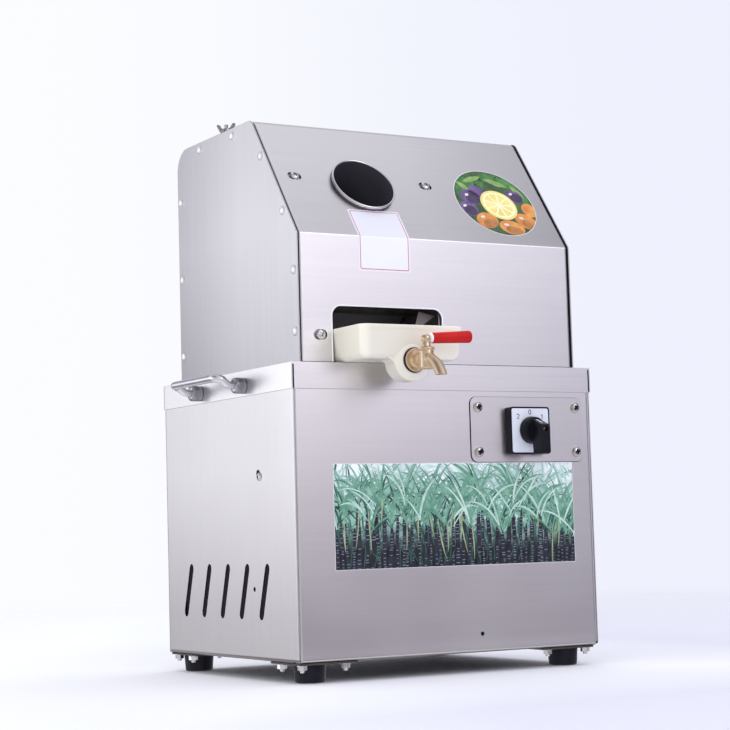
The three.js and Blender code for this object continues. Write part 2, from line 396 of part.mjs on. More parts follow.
for (const [name, [y, z]] of Object.entries(TIES)) {
  const [a, b] = [PLATE_L[1] + 0.3, PLATE_R[0] - 0.3];
  put(name, union(rod('x', [y, z], 9, a, b, 12), rod('x', [y, z], 4.9, PLATE_L[0] - 3, PLATE_R[1] + 3, 8), rod('x', [y, z], 8.5, PLATE_L[0] - 8, PLATE_L[0] - 0.3, 6), rod('x', [y, z], 8.5, PLATE_R[1] + 0.3, PLATE_R[1] + 5, 6)), M.zinc);
}
{
  // turn plate: hands the cane from the first nip to the second
  const [cy, cz] = TOP_C, arc = [];
  for (let k = 0; k <= 4; k++) { const t = (-14 + 7 * k) * Math.PI / 180; arc.push([cy + 40 * Math.sin(t), cz - 40 * Math.cos(t)]); }
  const [a, b] = [PLATE_L[1] + 0.3, PLATE_R[0] - 0.3];
  const turn = union(prism('x', [...arc, [cy + 9, cz - 45], [cy + 3, cz - 49], [cy + 3, 459], [cy + 10, 459], [cy + 10, 449], [cy - 10, 449], [cy - 10, 459], [cy - 3, 459], [cy - 3, cz - 49], [cy - 9, cz - 45]], a, b));
  put('turn_plate', turn, M.forged);
  // scraper blade close behind the top roller, above the exit nip
  const tip = [cy + 35.9 * Math.cos(0.3), cz - 35.9 * Math.sin(0.3)];
  put('top_scraper', prism('x', [tip, [tip[0] + 46, tip[1] + 30], [tip[0] + 44.4, tip[1] + 32.6], [tip[0] + 1.8, tip[1] + 4.6]], a, b), M.steelBright);
  // pan under the rollers: two slopes that lead the juice to a gap over the tray, closed at the ends
  const t = 1.5, prof = [[104, 441], [150, 411], [150, 411 - t], [103, 441 - t]], prof2 = [[168, 411], [286, 439], [286.5, 437.4], [168, 411 - t]];
  put('juice_guide_pan', union(prism('x', prof, -161, 8.4), prism('x', prof2, -161, 8.4),
    prism('x', [[104, 440.2], [150, 410], [168, 410], [286, 438], [286, 444], [104, 444]], -161, -159.5), prism('x', [[104, 440.2], [150, 410], [168, 410], [286, 438], [286, 444], [104, 444]], 6.9, 8.4)), M.steelBright);
}

// ================================================================ rollers and gears
function grooved(c, phase) {
  const n = 16, pts = [];
  for (let i = 0; i < n; i++) {
    const t = phase + (2 * Math.PI * i) / n, p = (a, r) => [c[0] + r * Math.cos(t + a), c[1] + r * Math.sin(t + a)];
    pts.push(p(-0.13, ROLL_R), p(0.13, ROLL_R), p(Math.PI / n, ROLL_R - 2.6));
  }
  return pts;
}
const roller = (c, xEnd, phase) => union(prism('x', grooved(c, phase), ROLL_X0, ROLL_X1), rod('x', c, SHAFT_R, -186, xEnd, 16));
function gear(c, phase) {
  const ro = GEAR_M * (GEAR_Z / 2 + 0.9), rr = GEAR_M * (GEAR_Z / 2 - 1.2), pts = [];
  for (let i = 0; i < GEAR_Z; i++) {
    const t = phase + (2 * Math.PI * i) / GEAR_Z, p = (a, r) => pts.push([c[0] + r * Math.cos(t + a), c[1] + r * Math.sin(t + a)]);
    p(-0.112, rr); p(-0.035, ro); p(0.035, ro); p(0.112, rr);
  }
  return prism('x', pts, GEAR_X0, GEAR_X1, [ring(c[0], c[1], SHAFT_R + 0.5, 16)]);
}
put('top_roller', roller(TOP_C, 92, 0), M.forged);
put('front_roller', roller(FRONT_C, 62, 0.1), M.forged);
put('rear_roller', roller(REAR_C, 62, 0.2), M.forged);
// a tooth of the top gear points down each centre line; the lower gears turn a gap to it
const toFront = Math.atan2(FRONT_C[1] - TOP_C[1], FRONT_C[0] - TOP_C[0]);
const toRear = Math.atan2(REAR_C[1] - TOP_C[1], REAR_C[0] - TOP_C[0]);
const PITCH = (2 * Math.PI) / GEAR_Z;
const phTop = toFront;
const gapAt = dir => dir + Math.PI;                    // direction back to the top gear
const phFront = gapAt(toFront) + PITCH / 2;
const offRear = ((toRear - phTop) / PITCH - Math.round((toRear - phTop) / PITCH)) * PITCH;   // how far the top tooth is past the line
const phRear = gapAt(toRear) + PITCH / 2 + offRear;
put('top_gear', gear(TOP_C, phTop), M.castIron);
put('front_gear', gear(FRONT_C, phFront), M.castIron);
put('rear_gear', gear(REAR_C, phRear), M.castIron);

// ================================================================ chain drive
const R1 = CHAIN_P / (2 * Math.sin(Math.PI / TEETH_TOP)), R2 = CHAIN_P / (2 * Math.sin(Math.PI / TEETH_OUT));
const OUT_C = [TOP_C[0], MOTOR_Z], CD = TOP_C[1] - MOTOR_Z, ALPHA = Math.asin((R1 - R2) / CD), SPAN = Math.sqrt(CD * CD - (R1 - R2) ** 2);
const LINKS = 70;
// roller centres of the chain: round the top sprocket, down the front strand, round the lower one, up the rear strand
function chainAt(u) {                                   // u in links
  const w1 = ((Math.PI + 2 * ALPHA) * TEETH_TOP) / (2 * Math.PI), w2 = ((Math.PI - 2 * ALPHA) * TEETH_OUT) / (2 * Math.PI), sp1 = (LINKS - w1 - w2) / 2;
  u = ((u % LINKS) + LINKS) % LINKS;
  const a0 = -ALPHA;                                    // angle where the rear strand meets the top sprocket
  if (u < w1) { const t = a0 + (u / TEETH_TOP) * 2 * Math.PI; return [TOP_C[0] + R1 * Math.cos(t), TOP_C[1] + R1 * Math.sin(t)]; }
  u -= w1;
  const A = a0 + Math.PI + 2 * ALPHA, B = A;            // the front strand leaves both sprockets at this angle
  const p = [TOP_C[0] + R1 * Math.cos(A), TOP_C[1] + R1 * Math.sin(A)], q = [OUT_C[0] + R2 * Math.cos(B), OUT_C[1] + R2 * Math.sin(B)];
  if (u < sp1) return [p[0] + ((q[0] - p[0]) * u) / sp1, p[1] + ((q[1] - p[1]) * u) / sp1];
  u -= sp1;
  if (u < w2) { const t = B + (u / TEETH_OUT) * 2 * Math.PI; return [OUT_C[0] + R2 * Math.cos(t), OUT_C[1] + R2 * Math.sin(t)]; }
  u -= w2;
  const p2 = [OUT_C[0] + R2 * Math.cos(-ALPHA), OUT_C[1] + R2 * Math.sin(-ALPHA)], q2 = [TOP_C[0] + R1 * Math.cos(-ALPHA), TOP_C[1] + R1 * Math.sin(-ALPHA)];
  return [p2[0] + ((q2[0] - p2[0]) * u) / sp1, p2[1] + ((q2[1] - p2[1]) * u) / sp1];
}
const loop = off => {
  const pts = [];
  for (let k = 0; k <= 10; k++) { const t = -ALPHA + ((Math.PI + 2 * ALPHA) * k) / 10; pts.push([TOP_C[0] + (R1 + off) * Math.cos(t), TOP_C[1] + (R1 + off) * Math.sin(t)]); }
  for (let k = 0; k <= 8; k++) { const t = Math.PI + ALPHA + ((Math.PI - 2 * ALPHA) * k) / 8; pts.push([OUT_C[0] + (R2 + off) * Math.cos(t), OUT_C[1] + (R2 + off) * Math.sin(t)]); }
  return pts;
};
{
  const band = (a, b) => prism('x', loop(6.6), a, b, [loop(-6.6).reverse()]);
  let chain = null;
  const rollers = [];
  // rollers stand on the two free strands; round the sprockets the side plates alone carry on, so every tooth passes freely
  for (let i = 0; i < LINKS; i++) {
    const p = chainAt(i + 0.5);
    if (Math.hypot(p[0] - TOP_C[0], p[1] - TOP_C[1]) < R1 + 9.6 || Math.hypot(p[0] - OUT_C[0], p[1] - OUT_C[1]) < R2 + 9.6) continue;
    rollers.push(rod('x', p, 4.4, CHAIN_X - 5.6, CHAIN_X + 5.6, 4));
  }
  chain = band(CHAIN_X - 7, CHAIN_X - 5.1);
  for (const r of rollers) chain = chain.add(r);
  chain = chain.add(band(CHAIN_X + 5.1, CHAIN_X + 7));
  put('drive_chain', chain, M.castIron);
}
function sprocket(c, teeth, R, phase, x0, x1, hub, hx0, hx1, bore) {
  const pts = [], step = (2 * Math.PI) / teeth;
  for (let i = 0; i < teeth; i++) {
    const t = phase + i * step, g = [c[0] + R * Math.cos(t), c[1] + R * Math.sin(t)];
    for (const a of [-60, 0, 60]) { const q = t + Math.PI - (a * Math.PI) / 180; pts.push([g[0] + 6.2 * Math.cos(q), g[1] + 6.2 * Math.sin(q)]); }
    for (const a of [-0.035 * 24 / teeth, 0.035 * 24 / teeth]) { const q = t + step / 2 + a; pts.push([c[0] + (R + 4.5) * Math.cos(q), c[1] + (R + 4.5) * Math.sin(q)]); }
  }
  return cut(union(prism('x', pts, x0, x1), rod('x', c, hub, hx0, hx1, 16)), rod('x', c, bore, x0 - 60, x1 + 60, 16));
}
const angleOf = (c, p) => Math.atan2(p[1] - c[1], p[0] - c[0]);
// tooth gaps sit on chain rollers
const phS1 = angleOf(TOP_C, chainAt(0.5));
const w1 = ((Math.PI + 2 * ALPHA) * TEETH_TOP) / (2 * Math.PI), sp1 = (LINKS - w1 - ((Math.PI - 2 * ALPHA) * TEETH_OUT) / (2 * Math.PI)) / 2;
const phS2 = angleOf(OUT_C, chainAt(Math.ceil(w1 + sp1 - 0.5) + 0.5));
put('roller_sprocket', sprocket(TOP_C, TEETH_TOP, R1, phS1, CHAIN_X - 4.2, CHAIN_X + 4.2, 24, 60.5, 86, SHAFT_R + 0.45), M.castIron);
put('output_sprocket', sprocket(OUT_C, TEETH_OUT, R2, phS2, CHAIN_X - 4.2, CHAIN_X + 4.2, 20, 64, 86, 13), M.castIron);
put('gearbox_output_shaft', rod('x', OUT_C, 12.6, 20, 90, 16), M.forged);

// ================================================================ gearmotor
{
  const [cy, cz] = OUT_C, z0 = 33.3;
  let box1 = union(prism('x', ring(cy, cz, 60, 18), -30, 50), box(-24, 44, cy - 56, cy + 56, z0, 92), prism('x', ring(cy, cz, 42, 14), 49, 56));
  box1 = cut(box1, rod('x', [cy, cz], 13.3, 16, 70, 16));
  put('gearbox', box1, M.paintGrey);
  const fins = [], n = 14;
  for (let i = 0; i < n; i++) { const t = (2 * Math.PI * i) / n; for (const [a, r] of [[-0.06, 53], [-0.04, 59], [0.04, 59], [0.06, 53]]) fins.push([cy + r * Math.cos(t + a), cz + r * Math.sin(t + a)]); }
  const motor = union(prism('x', fins, -172, -34), prism('x', ring(cy, cz, 60, 18), -36, -30.4), prism('x', ring(cy, cz, 60, 18), -204, -171),
    box(-150, -64, cy - 54, cy + 54, z0, 92), box(-136, -70, cy - 29, cy + 29, cz + 40, cz + 88));
  put('motor', motor, M.paintGrey);
}

// ================================================================ juice tray and tap
const tray = new THREE.Group();
machine.add(tray);
// rounded block that narrows towards its bottom
function tapered(x0, x1, y0, y1, z0, z1, r, inset, n = 4) {
  const top = rrect(x0, x1, y0, y1, r, n), bot = rrect(x0 + inset, x1 - inset, y0 + inset, y1 - inset, r.map ? r.map(v => Math.max(1, v - inset)) : r - inset, n);
  const g = extrude(top, z1 - z0), p = g.attributes.position;
  for (let i = 0; i < p.count; i++) {
    if (p.getZ(i) > 1e-3) continue;
    let best = 0, bd = 1e9;
    top.forEach(([a, b], k) => { const d = Math.hypot(a - p.getX(i), b - p.getY(i)); if (d < bd) { bd = d; best = k; } });
    p.setXY(i, bot[best][0], bot[best][1]);
  }
  return toSolid(g.translate(0, 0, z0));
}
{
  const x0 = -154.1, x1 = -9.5, y0 = -58, y1 = 214, z0 = 359, z1 = 400, t = 3;
  const boss = (r, a, b) => prism('y', [...stadium([TAP_X, TAP_Z], [TAP_X, TAP_Z + 14], 2 * r, 10)], a, b);
  const filletTri = union(...[-1, 1].map(s => prism('y', [[TAP_X + s * 20, z0 + 3], [TAP_X + s * 31, z0 + 3], [TAP_X + s * 31, z0], [TAP_X + s * 27, z0 - 1.6], [TAP_X + s * 24.6, z0 - 5.5], [TAP_X + s * 20, z0 - 5.5]], -54.5, -30)));
  let shell = union(tapered(x0, x1, y0, y1, z0, z1, 10, 3.5), tapered(x0 - 1, x1 + 1, y0 - 1, y1 + 1, z1 - 6, z1, 11, 0.3));
  shell = shell.add(boss(25, -56.6, -28.5)).add(filletTri);
  shell = cut(shell, tapered(x0 + t, x1 - t, y0 + t, y1 - t, z0 + t, z1 + 1, 8, 3.5), boss(21.5, -52.6, -32), rod('y', [TAP_X, TAP_Z], 10.9, -70, -45, 14));
  put('juice_tray', shell, M.cream, tray);

  // tap: washer against the tray, flange, horizontal body, upright plug housing and bent spout
  const X = TAP_X, Z = TAP_Z, f = -57.2;      // face the washer sits on
  put('tap_washer', prism('y', ring(X, Z, 15.2, 20), f - 2.6, f - 0.3, [ring(X, Z, 10.9, 14)]), M.rubber, tray);
  let body = lathe([[0, 0], [14.2, 0], [14.2, 2.2], [8, 4.6], [7, 8], [7.4, 18], [0, 18]], 14, V(X, f - 2.9, Z), V(0, -1, 0));
  body = union(body, rod('y', [X, Z], 10, f - 4, -46.5, 14, 0.1), rod('y', [X, Z], 14.5, -52.2, -46.8, 6));
  body = body.add(lathe([[0, 344], [8.4, 344], [9.5, 346], [9.3, 364.6], [11, 366], [11, 368.4], [0, 368.4]], 14, V(X, PLUG_Y, 0)));
  const spoutPath = new THREE.CatmullRomCurve3([V(X, PLUG_Y - 4, Z + 0.8), V(X, PLUG_Y - 15, Z + 1.8), V(X, PLUG_Y - 26, Z - 2.5), V(X, PLUG_Y - 31.5, Z - 12), V(X, PLUG_Y - 34.5, Z - 22.8)]);
  const spoutBore = new THREE.CatmullRomCurve3([V(X, PLUG_Y - 8, Z + 1.2), V(X, PLUG_Y - 15, Z + 1.8), V(X, PLUG_Y - 26, Z - 2.5), V(X, PLUG_Y - 31.5, Z - 12), V(X, PLUG_Y - 34.8, Z - 24)]);
  body = body.add(tube(spoutPath, 6.8, 12, 8));
  body = cut(body, tube(spoutBore, 4.8, 8, 8), rod('z', [X, PLUG_Y], 6.3, 330, 380, 12), rod('y', [X, Z], 5.4, -84, -40, 8));
  put('tap_body', body, M.brass, tray);

  // plug with its ball top, turned by the lever; closed with the lever across the spout
  const tilt = 0.054, dir = V(Math.cos(tilt), 0, Math.sin(tilt)), root = V(X, PLUG_Y, 380.9);
  let plug = lathe([[0, 345.5], [5.6, 345.5], [5.6, 371.2], [3.2, 372.4], [3.2, 376], [5, 377.8], [5.5, 380.2], [5, 382.6], [3, 384.9], [0, 385.8]], 12, V(X, PLUG_Y, 0));
  plug = plug.add(lathe([[0, 3], [2.3, 3], [2.3, 62.5], [0, 62.5]], 8, root, dir));
  plug = cut(plug, rod('x', [PLUG_Y, Z], 3.8, X - 12, X + 12, 8));      // crosswise: shut
  put('tap_plug', plug, M.brass, tray);
  put('tap_grip', lathe([[2.7, 11.3], [6.4, 11.3], [7.5, 64], [6.6, 66], [0, 66], [0, 63.5], [2.7, 63.5], [2.7, 11.3]], 14, root, dir), M.red, tray);
  put('tap_collar', lathe([[2.7, 8.6], [5.9, 8.6], [6.3, 10.9], [2.7, 10.9], [2.7, 8.6]], 14, root, dir), M.dial, tray);
}

// ================================================================ wing nuts that hold the hood down
for (const [name, [a, b], turn] of [['wing_nut_left', PLATE_L, -0.945], ['wing_nut_right', PLATE_R, -0.4]]) {
  const x = (a + b) / 2, z = ROOF_Z + 8.6;
  let nut = lathe([[3.4, 0], [6.2, 0], [5.2, 9.5], [3.4, 9.5], [3.4, 0]], 12, V(0, 0, 0));
  for (const s of [-1, 1]) {
    const wing = fillet([[s * 4.2, 1.5, 0], [s * 9, 6, 2], [s * 14.2, 15.5, 2], [s * 10.5, 18.2, 2], [s * 7, 12, 2], [s * 4.2, 9, 0]], 2);
    nut = nut.add(prism('y', s > 0 ? wing : wing.reverse(), -1.5, 1.5));
  }
  put(name, nut.rotate([0, 0, (turn * 180) / Math.PI]).translate([x, STUD_Y, z]), M.zinc);
}

const sugarcaneJuicer = new THREE.Group();
sugarcaneJuicer.name = 'sugarcane_juicer';
sugarcaneJuicer.add(machine);
export default sugarcaneJuicer;
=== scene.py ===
"""Tabletop electric sugarcane juicer: the visual model, its materials, light and camera."""
import json
import math
import random

import bpy
import bmesh
from mathutils import Matrix, Vector

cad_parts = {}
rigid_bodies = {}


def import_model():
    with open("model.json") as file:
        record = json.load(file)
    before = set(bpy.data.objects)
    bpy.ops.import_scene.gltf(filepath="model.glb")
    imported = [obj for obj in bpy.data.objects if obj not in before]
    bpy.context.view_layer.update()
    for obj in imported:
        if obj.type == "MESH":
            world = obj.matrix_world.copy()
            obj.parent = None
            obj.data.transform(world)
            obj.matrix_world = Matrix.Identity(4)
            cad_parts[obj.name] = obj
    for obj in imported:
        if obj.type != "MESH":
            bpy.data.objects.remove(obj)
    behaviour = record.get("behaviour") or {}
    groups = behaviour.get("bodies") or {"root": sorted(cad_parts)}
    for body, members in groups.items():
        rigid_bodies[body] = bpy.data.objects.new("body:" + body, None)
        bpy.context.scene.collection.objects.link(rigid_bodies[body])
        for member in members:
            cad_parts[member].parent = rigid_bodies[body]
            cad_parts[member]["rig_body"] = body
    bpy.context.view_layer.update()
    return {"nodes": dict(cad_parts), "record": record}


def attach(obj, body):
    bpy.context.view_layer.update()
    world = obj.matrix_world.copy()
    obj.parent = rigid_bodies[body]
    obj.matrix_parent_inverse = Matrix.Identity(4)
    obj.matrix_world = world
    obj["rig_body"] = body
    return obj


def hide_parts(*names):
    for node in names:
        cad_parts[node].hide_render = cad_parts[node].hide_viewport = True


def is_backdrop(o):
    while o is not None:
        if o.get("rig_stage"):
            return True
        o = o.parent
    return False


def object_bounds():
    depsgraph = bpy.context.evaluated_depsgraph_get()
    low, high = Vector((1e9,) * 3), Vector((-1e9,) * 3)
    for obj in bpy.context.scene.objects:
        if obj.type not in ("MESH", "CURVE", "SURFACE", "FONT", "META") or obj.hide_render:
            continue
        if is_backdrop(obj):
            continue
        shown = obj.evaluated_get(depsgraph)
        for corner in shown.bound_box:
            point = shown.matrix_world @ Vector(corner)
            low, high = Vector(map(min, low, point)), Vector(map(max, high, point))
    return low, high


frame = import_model()
scene = bpy.context.scene

# ------------------------------------------------------------------ places (build millimetres -> row frame metres)
DY, DZ = 133.2, 25.0


def W(x, y, z):
    return Vector((x * 0.001, (y - DY) * 0.001, (z + DZ) * 0.001))


TY, TZ = 0.5853229, 0.8108002
HOOD_Y0, HOOD_Y1, HOOD_Z0, KNEE_Z, RIDGE_Y, ROOF_Z = 11.5, 351.5, 358.8, 517.5, 127.0, 677.5
SHEET = 1.2


def on_slope(x, s, out=0.0):
    return Vector((x, HOOD_Y0 + TY * s - TZ * out, KNEE_Z + TZ * s + TY * out))


SLOPE_N = Vector((0, -TZ, TY))
SLOPE_T = Vector((0, TY, TZ))


# ------------------------------------------------------------------ 2-D outlines
def fillet(pts, n=6):
    """pts: [a, b, radius]; rounds each corner by its radius with n steps."""
    out = []
    m = len(pts)
    for i, (a, b, r) in enumerate(pts):
        if r <= 0:
            out.append((a, b))
            continue
        p = Vector((a, b))
        u = Vector(pts[i - 1][:2]) - p
        v = Vector(pts[(i + 1) % m][:2]) - p
        u.normalize()
        v.normalize()
        ang = math.acos(max(-1, min(1, u.dot(v))))
        d = r / math.tan(ang / 2)
        s, e = p + u * d, p + v * d
        c = p + (u + v).normalized() * (r / math.sin(ang / 2))
        a0 = math.atan2(s.y - c.y, s.x - c.x)
        a1 = math.atan2(e.y - c.y, e.x - c.x)
        da = (a1 - a0 + math.pi) % (2 * math.pi) - math.pi
        for k in range(n + 1):
            t = a0 + da * k / n
            out.append((c.x + r * math.cos(t), c.y + r * math.sin(t)))
    return out


def rrect(x0, x1, y0, y1, r, n=6):
    rr = r if isinstance(r, (list, tuple)) else [r] * 4
    return fillet([[x0, y0, rr[0]], [x1, y0, rr[1]], [x1, y1, rr[2]], [x0, y1, rr[3]]], n)


def stadium(a, b, w, n=10):
    a, b = Vector(a), Vector(b)
    d = (b - a).normalized()
    t0 = math.atan2(d.y, d.x)
    out = []
    for c, s in ((b, -math.pi / 2), (a, math.pi / 2)):
        for k in range(n + 1):
            t = t0 + s + math.pi * k / n
            out.append((c.x + w / 2 * math.cos(t), c.y + w / 2 * math.sin(t)))
    return out


def ring(cx, cy, r, n=48, turn=0.0):
    return [(cx + r * math.cos(turn + 2 * math.pi * k / n), cy + r * math.sin(turn + 2 * math.pi * k / n)) for k in range(n)]


def to3(axis, p, h):
    if axis == "x":
        return Vector((h, p[0], p[1]))
    if axis == "y":
        return Vector((p[0], h, p[1]))
    return Vector((p[0], p[1], h))


# ------------------------------------------------------------------ mesh helpers (all in build millimetres)
def to_obj(bm, name="tmp"):
    me = bpy.data.meshes.new(name)
    bmesh.ops.recalc_face_normals(bm, faces=bm.faces)
    bm.to_mesh(me)
    bm.free()
    o = bpy.data.objects.new(name, me)
    scene.collection.objects.link(o)
    return o


def drop(*obs):
    for o in obs:
        me = o.data
        bpy.data.objects.remove(o)
        if me and me.users == 0:
            bpy.data.meshes.remove(me)


def bake(o):
    """Applies the modifiers of o to its mesh."""
    bpy.context.view_layer.update()
    dg = bpy.context.evaluated_depsgraph_get()
    me = bpy.data.meshes.new_from_object(o.evaluated_get(dg), preserve_all_data_layers=True, depsgraph=dg)
    old = o.data
    o.modifiers.clear()
    o.data = me
    if old.users == 0:
        bpy.data.meshes.remove(old)
    return o


def prism(axis, pts, a, b, holes=(), place=None):
    """Straight solid on an outline, from a to b along the axis; place maps a point of (p, h) to 3-D instead of the axis."""
    bm = bmesh.new()
    put = place or (lambda p, h: to3(axis, p, h))
    edges = []
    for loop in [pts, *holes]:
        clean = [p for i, p in enumerate(loop) if (Vector(p) - Vector(loop[i - 1])).length > 1e-4]
        vs = [bm.verts.new(put(p, a)) for p in clean]
        edges += [bm.edges.new((vs[i], vs[(i + 1) % len(vs)])) for i in range(len(vs))]
    if holes:
        bmesh.ops.triangle_fill(bm, use_beauty=True, use_dissolve=False, edges=edges)
        bmesh.ops.dissolve_limit(bm, angle_limit=0.001, use_dissolve_boundaries=False, verts=bm.verts[:], edges=bm.edges[:], delimit=set())
    else:
        bm.faces.new(vs)
    n0 = bm.verts[:]
    far = put((0, 0), b) - put((0, 0), a)
    ext = bmesh.ops.extrude_face_region(bm, geom=bm.faces[:])
    for v in ext["geom"]:
        if isinstance(v, bmesh.types.BMVert):
            v.co += far
    return to_obj(bm)


def flared(axis, near, far, a, b):
    """Solid between two outlines of as many points, at a and at b."""
    bm = bmesh.new()
    lo = [bm.verts.new(to3(axis, p, a)) for p in near]
    hi = [bm.verts.new(to3(axis, p, b)) for p in far]
    bm.faces.new(lo)
    bm.faces.new(hi)
    for i in range(len(lo)):
        j = (i + 1) % len(lo)
        if (lo[i].co - lo[j].co).length > 1e-5:
            bm.faces.new((lo[i], lo[j], hi[j], hi[i]))
    return to_obj(bm)


def slope_prism(pts, lo, hi, holes=()):
    """Solid on an outline drawn on the slope in (x, s)."""
    return prism(None, pts, lo, hi, holes, place=lambda p, h: on_slope(p[0], p[1], h))


def frame_of(axis):
    z = Vector(axis).normalized()
    x = Vector((0, 0, 1)) if abs(z.z) < 0.9 else Vector((1, 0, 0))
    x = (x - z * x.dot(z)).normalized()
    return x, z.cross(x), z


def lathe(profile, n=48, at=(0, 0, 0), axis=(0, 0, 1), closed=False, fn=None):
    """Turns (r, h) about an axis. closed joins the last point to the first, for a tube-like section."""
    x, y, z = frame_of(axis)
    at = Vector(at)
    bm = bmesh.new()
    rows = []
    for r, h in profile:
        if r < 1e-6:
            rows.append([bm.verts.new(at + z * h)])
        else:
            rows.append([bm.verts.new(at + z * h + (x * math.cos(2 * math.pi * k / n) + y * math.sin(2 * math.pi * k / n)) * (fn(r, h, 2 * math.pi * k / n) if fn else r)) for k in range(n)])
    pairs = list(zip(rows, rows[1:])) + ([(rows[-1], rows[0])] if closed else [])
    for p, q in pairs:
        for k in range(n):
            j = (k + 1) % n
            if len(p) == 1 and len(q) == 1:
                continue
            if len(p) == 1:
                bm.faces.new((p[0], q[k], q[j]))
            elif len(q) == 1:
                bm.faces.new((p[k], p[j], q[0]))
            else:
                bm.faces.new((p[k], p[j], q[j], q[k]))
    if not closed:
        for r in (rows[0], rows[-1]):
            if len(r) > 1:
                bm.faces.new(r)
    return to_obj(bm)


def arc(cx, cy, r, a0, a1, n):
    """Points of an arc, in degrees."""
    return [(cx + r * math.cos(math.radians(a0 + (a1 - a0) * k / n)), cy + r * math.sin(math.radians(a0 + (a1 - a0) * k / n))) for k in range(n + 1)]


def smooth_path(pts, per=8):
    pts = [Vector(p) for p in pts]
    ext = [pts[0] * 2 - pts[1]] + pts + [pts[-1] * 2 - pts[-2]]
    out = []
    for i in range(1, len(ext) - 2):
        p0, p1, p2, p3 = ext[i - 1:i + 3]
        for k in range(per):
            t = k / per
            out.append(0.5 * ((2 * p1) + (p2 - p0) * t + (2 * p0 - 5 * p1 + 4 * p2 - p3) * t * t + (-p0 + 3 * p1 - 3 * p2 + p3) * t ** 3))
    out.append(pts[-1])
    return out


def sweep(path, radius, n=24, caps=True):
    """Round tube on a path; radius is a number or one per point."""
    path = [Vector(p) for p in path]
    rad = radius if isinstance(radius, (list, tuple)) else [radius] * len(path)
    tang = []
    for i in range(len(path)):
        d = path[min(i + 1, len(path) - 1)] - path[max(i - 1, 0)]
        tang.append(d.normalized())
    x, y, z = frame_of(tang[0])
    bm = bmesh.new()
    rows = []
    for p, t, r in zip(path, tang, rad):
        x = (x - t * x.dot(t)).normalized()
        y = t.cross(x)
        rows.append([bm.verts.new(p + (x * math.cos(2 * math.pi * k / n) + y * math.sin(2 * math.pi * k / n)) * r) for k in range(n)])
    for p, q in zip(rows, rows[1:]):
        for k in range(n):
            bm.faces.new((p[k], p[(k + 1) % n], q[(k + 1) % n], q[k]))
    if caps:
        bm.faces.new(rows[0])
        bm.faces.new(rows[-1])
    return to_obj(bm)


def boolean(o, others, op="DIFFERENCE", solver="MANIFOLD"):
    for c in others:
        m = o.modifiers.new("b", "BOOLEAN")
        m.operation = op
        m.object = c
        m.solver = solver
    n_before = len(o.data.polygons)
    keep = o.data.copy()
    bake(o)
    if len(o.data.polygons) == 0 and n_before:
        o.data = keep
        for c in others:
            m = o.modifiers.new("b", "BOOLEAN")
            m.operation = op
            m.object = c
            m.solver = "EXACT"
        bake(o)
    drop(*others)
    return o


def tidy(o, dist=0.005, planar=True):
    bm = bmesh.new()
    bm.from_mesh(o.data)
    bmesh.ops.remove_doubles(bm, verts=bm.verts[:], dist=dist)
    if planar:
        bmesh.ops.dissolve_limit(bm, angle_limit=0.004, use_dissolve_boundaries=False, verts=bm.verts[:], edges=bm.edges[:], delimit=set())
    bmesh.ops.dissolve_degenerate(bm, dist=dist, edges=bm.edges[:])
    bm.to_mesh(o.data)
    bm.free()
    return o


def join(*obs):
    """One object with the meshes of all of them (separate closed shells)."""
    bm = bmesh.new()
    for o in obs:
        bm.from_mesh(o.data)
    me = bpy.data.meshes.new("joined")
    bm.to_mesh(me)
    bm.free()
    first = obs[0]
    old = first.data
    first.data = me
    bpy.data.meshes.remove(old)
    drop(*obs[1:])
    return first


def round_edges(o, width, segs=2, angle=30, weighted=True):
    o.data.polygons.foreach_set("use_smooth", [True] * len(o.data.polygons))
    if width:
        b = o.modifiers.new("bev", "BEVEL")
        b.width = width
        b.segments = segs
        b.limit_method = "ANGLE"
        b.angle_limit = math.radians(angle)
        b.use_clamp_overlap = True
        b.miter_outer = "MITER_ARC"
        b.profile = 0.5
        bake(o)
    o.data.set_sharp_from_angle(angle=math.radians(55))
    if weighted:
        w = o.modifiers.new("wn", "WEIGHTED_NORMAL")
        w.weight = 50
        w.keep_sharp = True
    return bake(o)


def remesh(o, voxel, smooth=4, factor=0.5, reduce=None):
    r = o.modifiers.new("r", "REMESH")
    r.mode = "VOXEL"
    r.voxel_size = voxel
    r.use_smooth_shade = True
    if smooth:
        s = o.modifiers.new("s", "SMOOTH")
        s.iterations = smooth
        s.factor = factor
    if reduce:
        d = o.modifiers.new("d", "DECIMATE")
        d.ratio = reduce
    return bake(o)


MATS = {}


def piece(o, name, mat, body="machine", replaces=(), row=True):
    """Takes a finished build-millimetre mesh into the row frame as a named piece."""
    if row:
        o.data.transform(Matrix.Translation((0, -DY * 0.001, DZ * 0.001)) @ Matrix.Scale(0.001, 4))
    o.data.update()
    o.name = name
    o.data.name = name
    mats = mat if isinstance(mat, (list, tuple)) else [mat]
    idx = [0] * len(o.data.polygons)
    o.data.polygons.foreach_get("material_index", idx)
    o.data.materials.clear()
    for m in mats:
        o.data.materials.append(MATS[m])
    o.data.polygons.foreach_set("material_index", [min(i, len(mats) - 1) for i in idx])
    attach(o, body)
    if replaces:
        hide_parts(*([replaces] if isinstance(replaces, str) else replaces))
    return o


# ------------------------------------------------------------------ materials
def new_mat(name):
    m = bpy.data.materials.new(name)
    m.use_nodes = True
    nt = m.node_tree
    b = nt.nodes["Principled BSDF"]
    return m, nt, b


def coords(nt):
    return nt.nodes.new("ShaderNodeTexCoord").outputs["Object"]


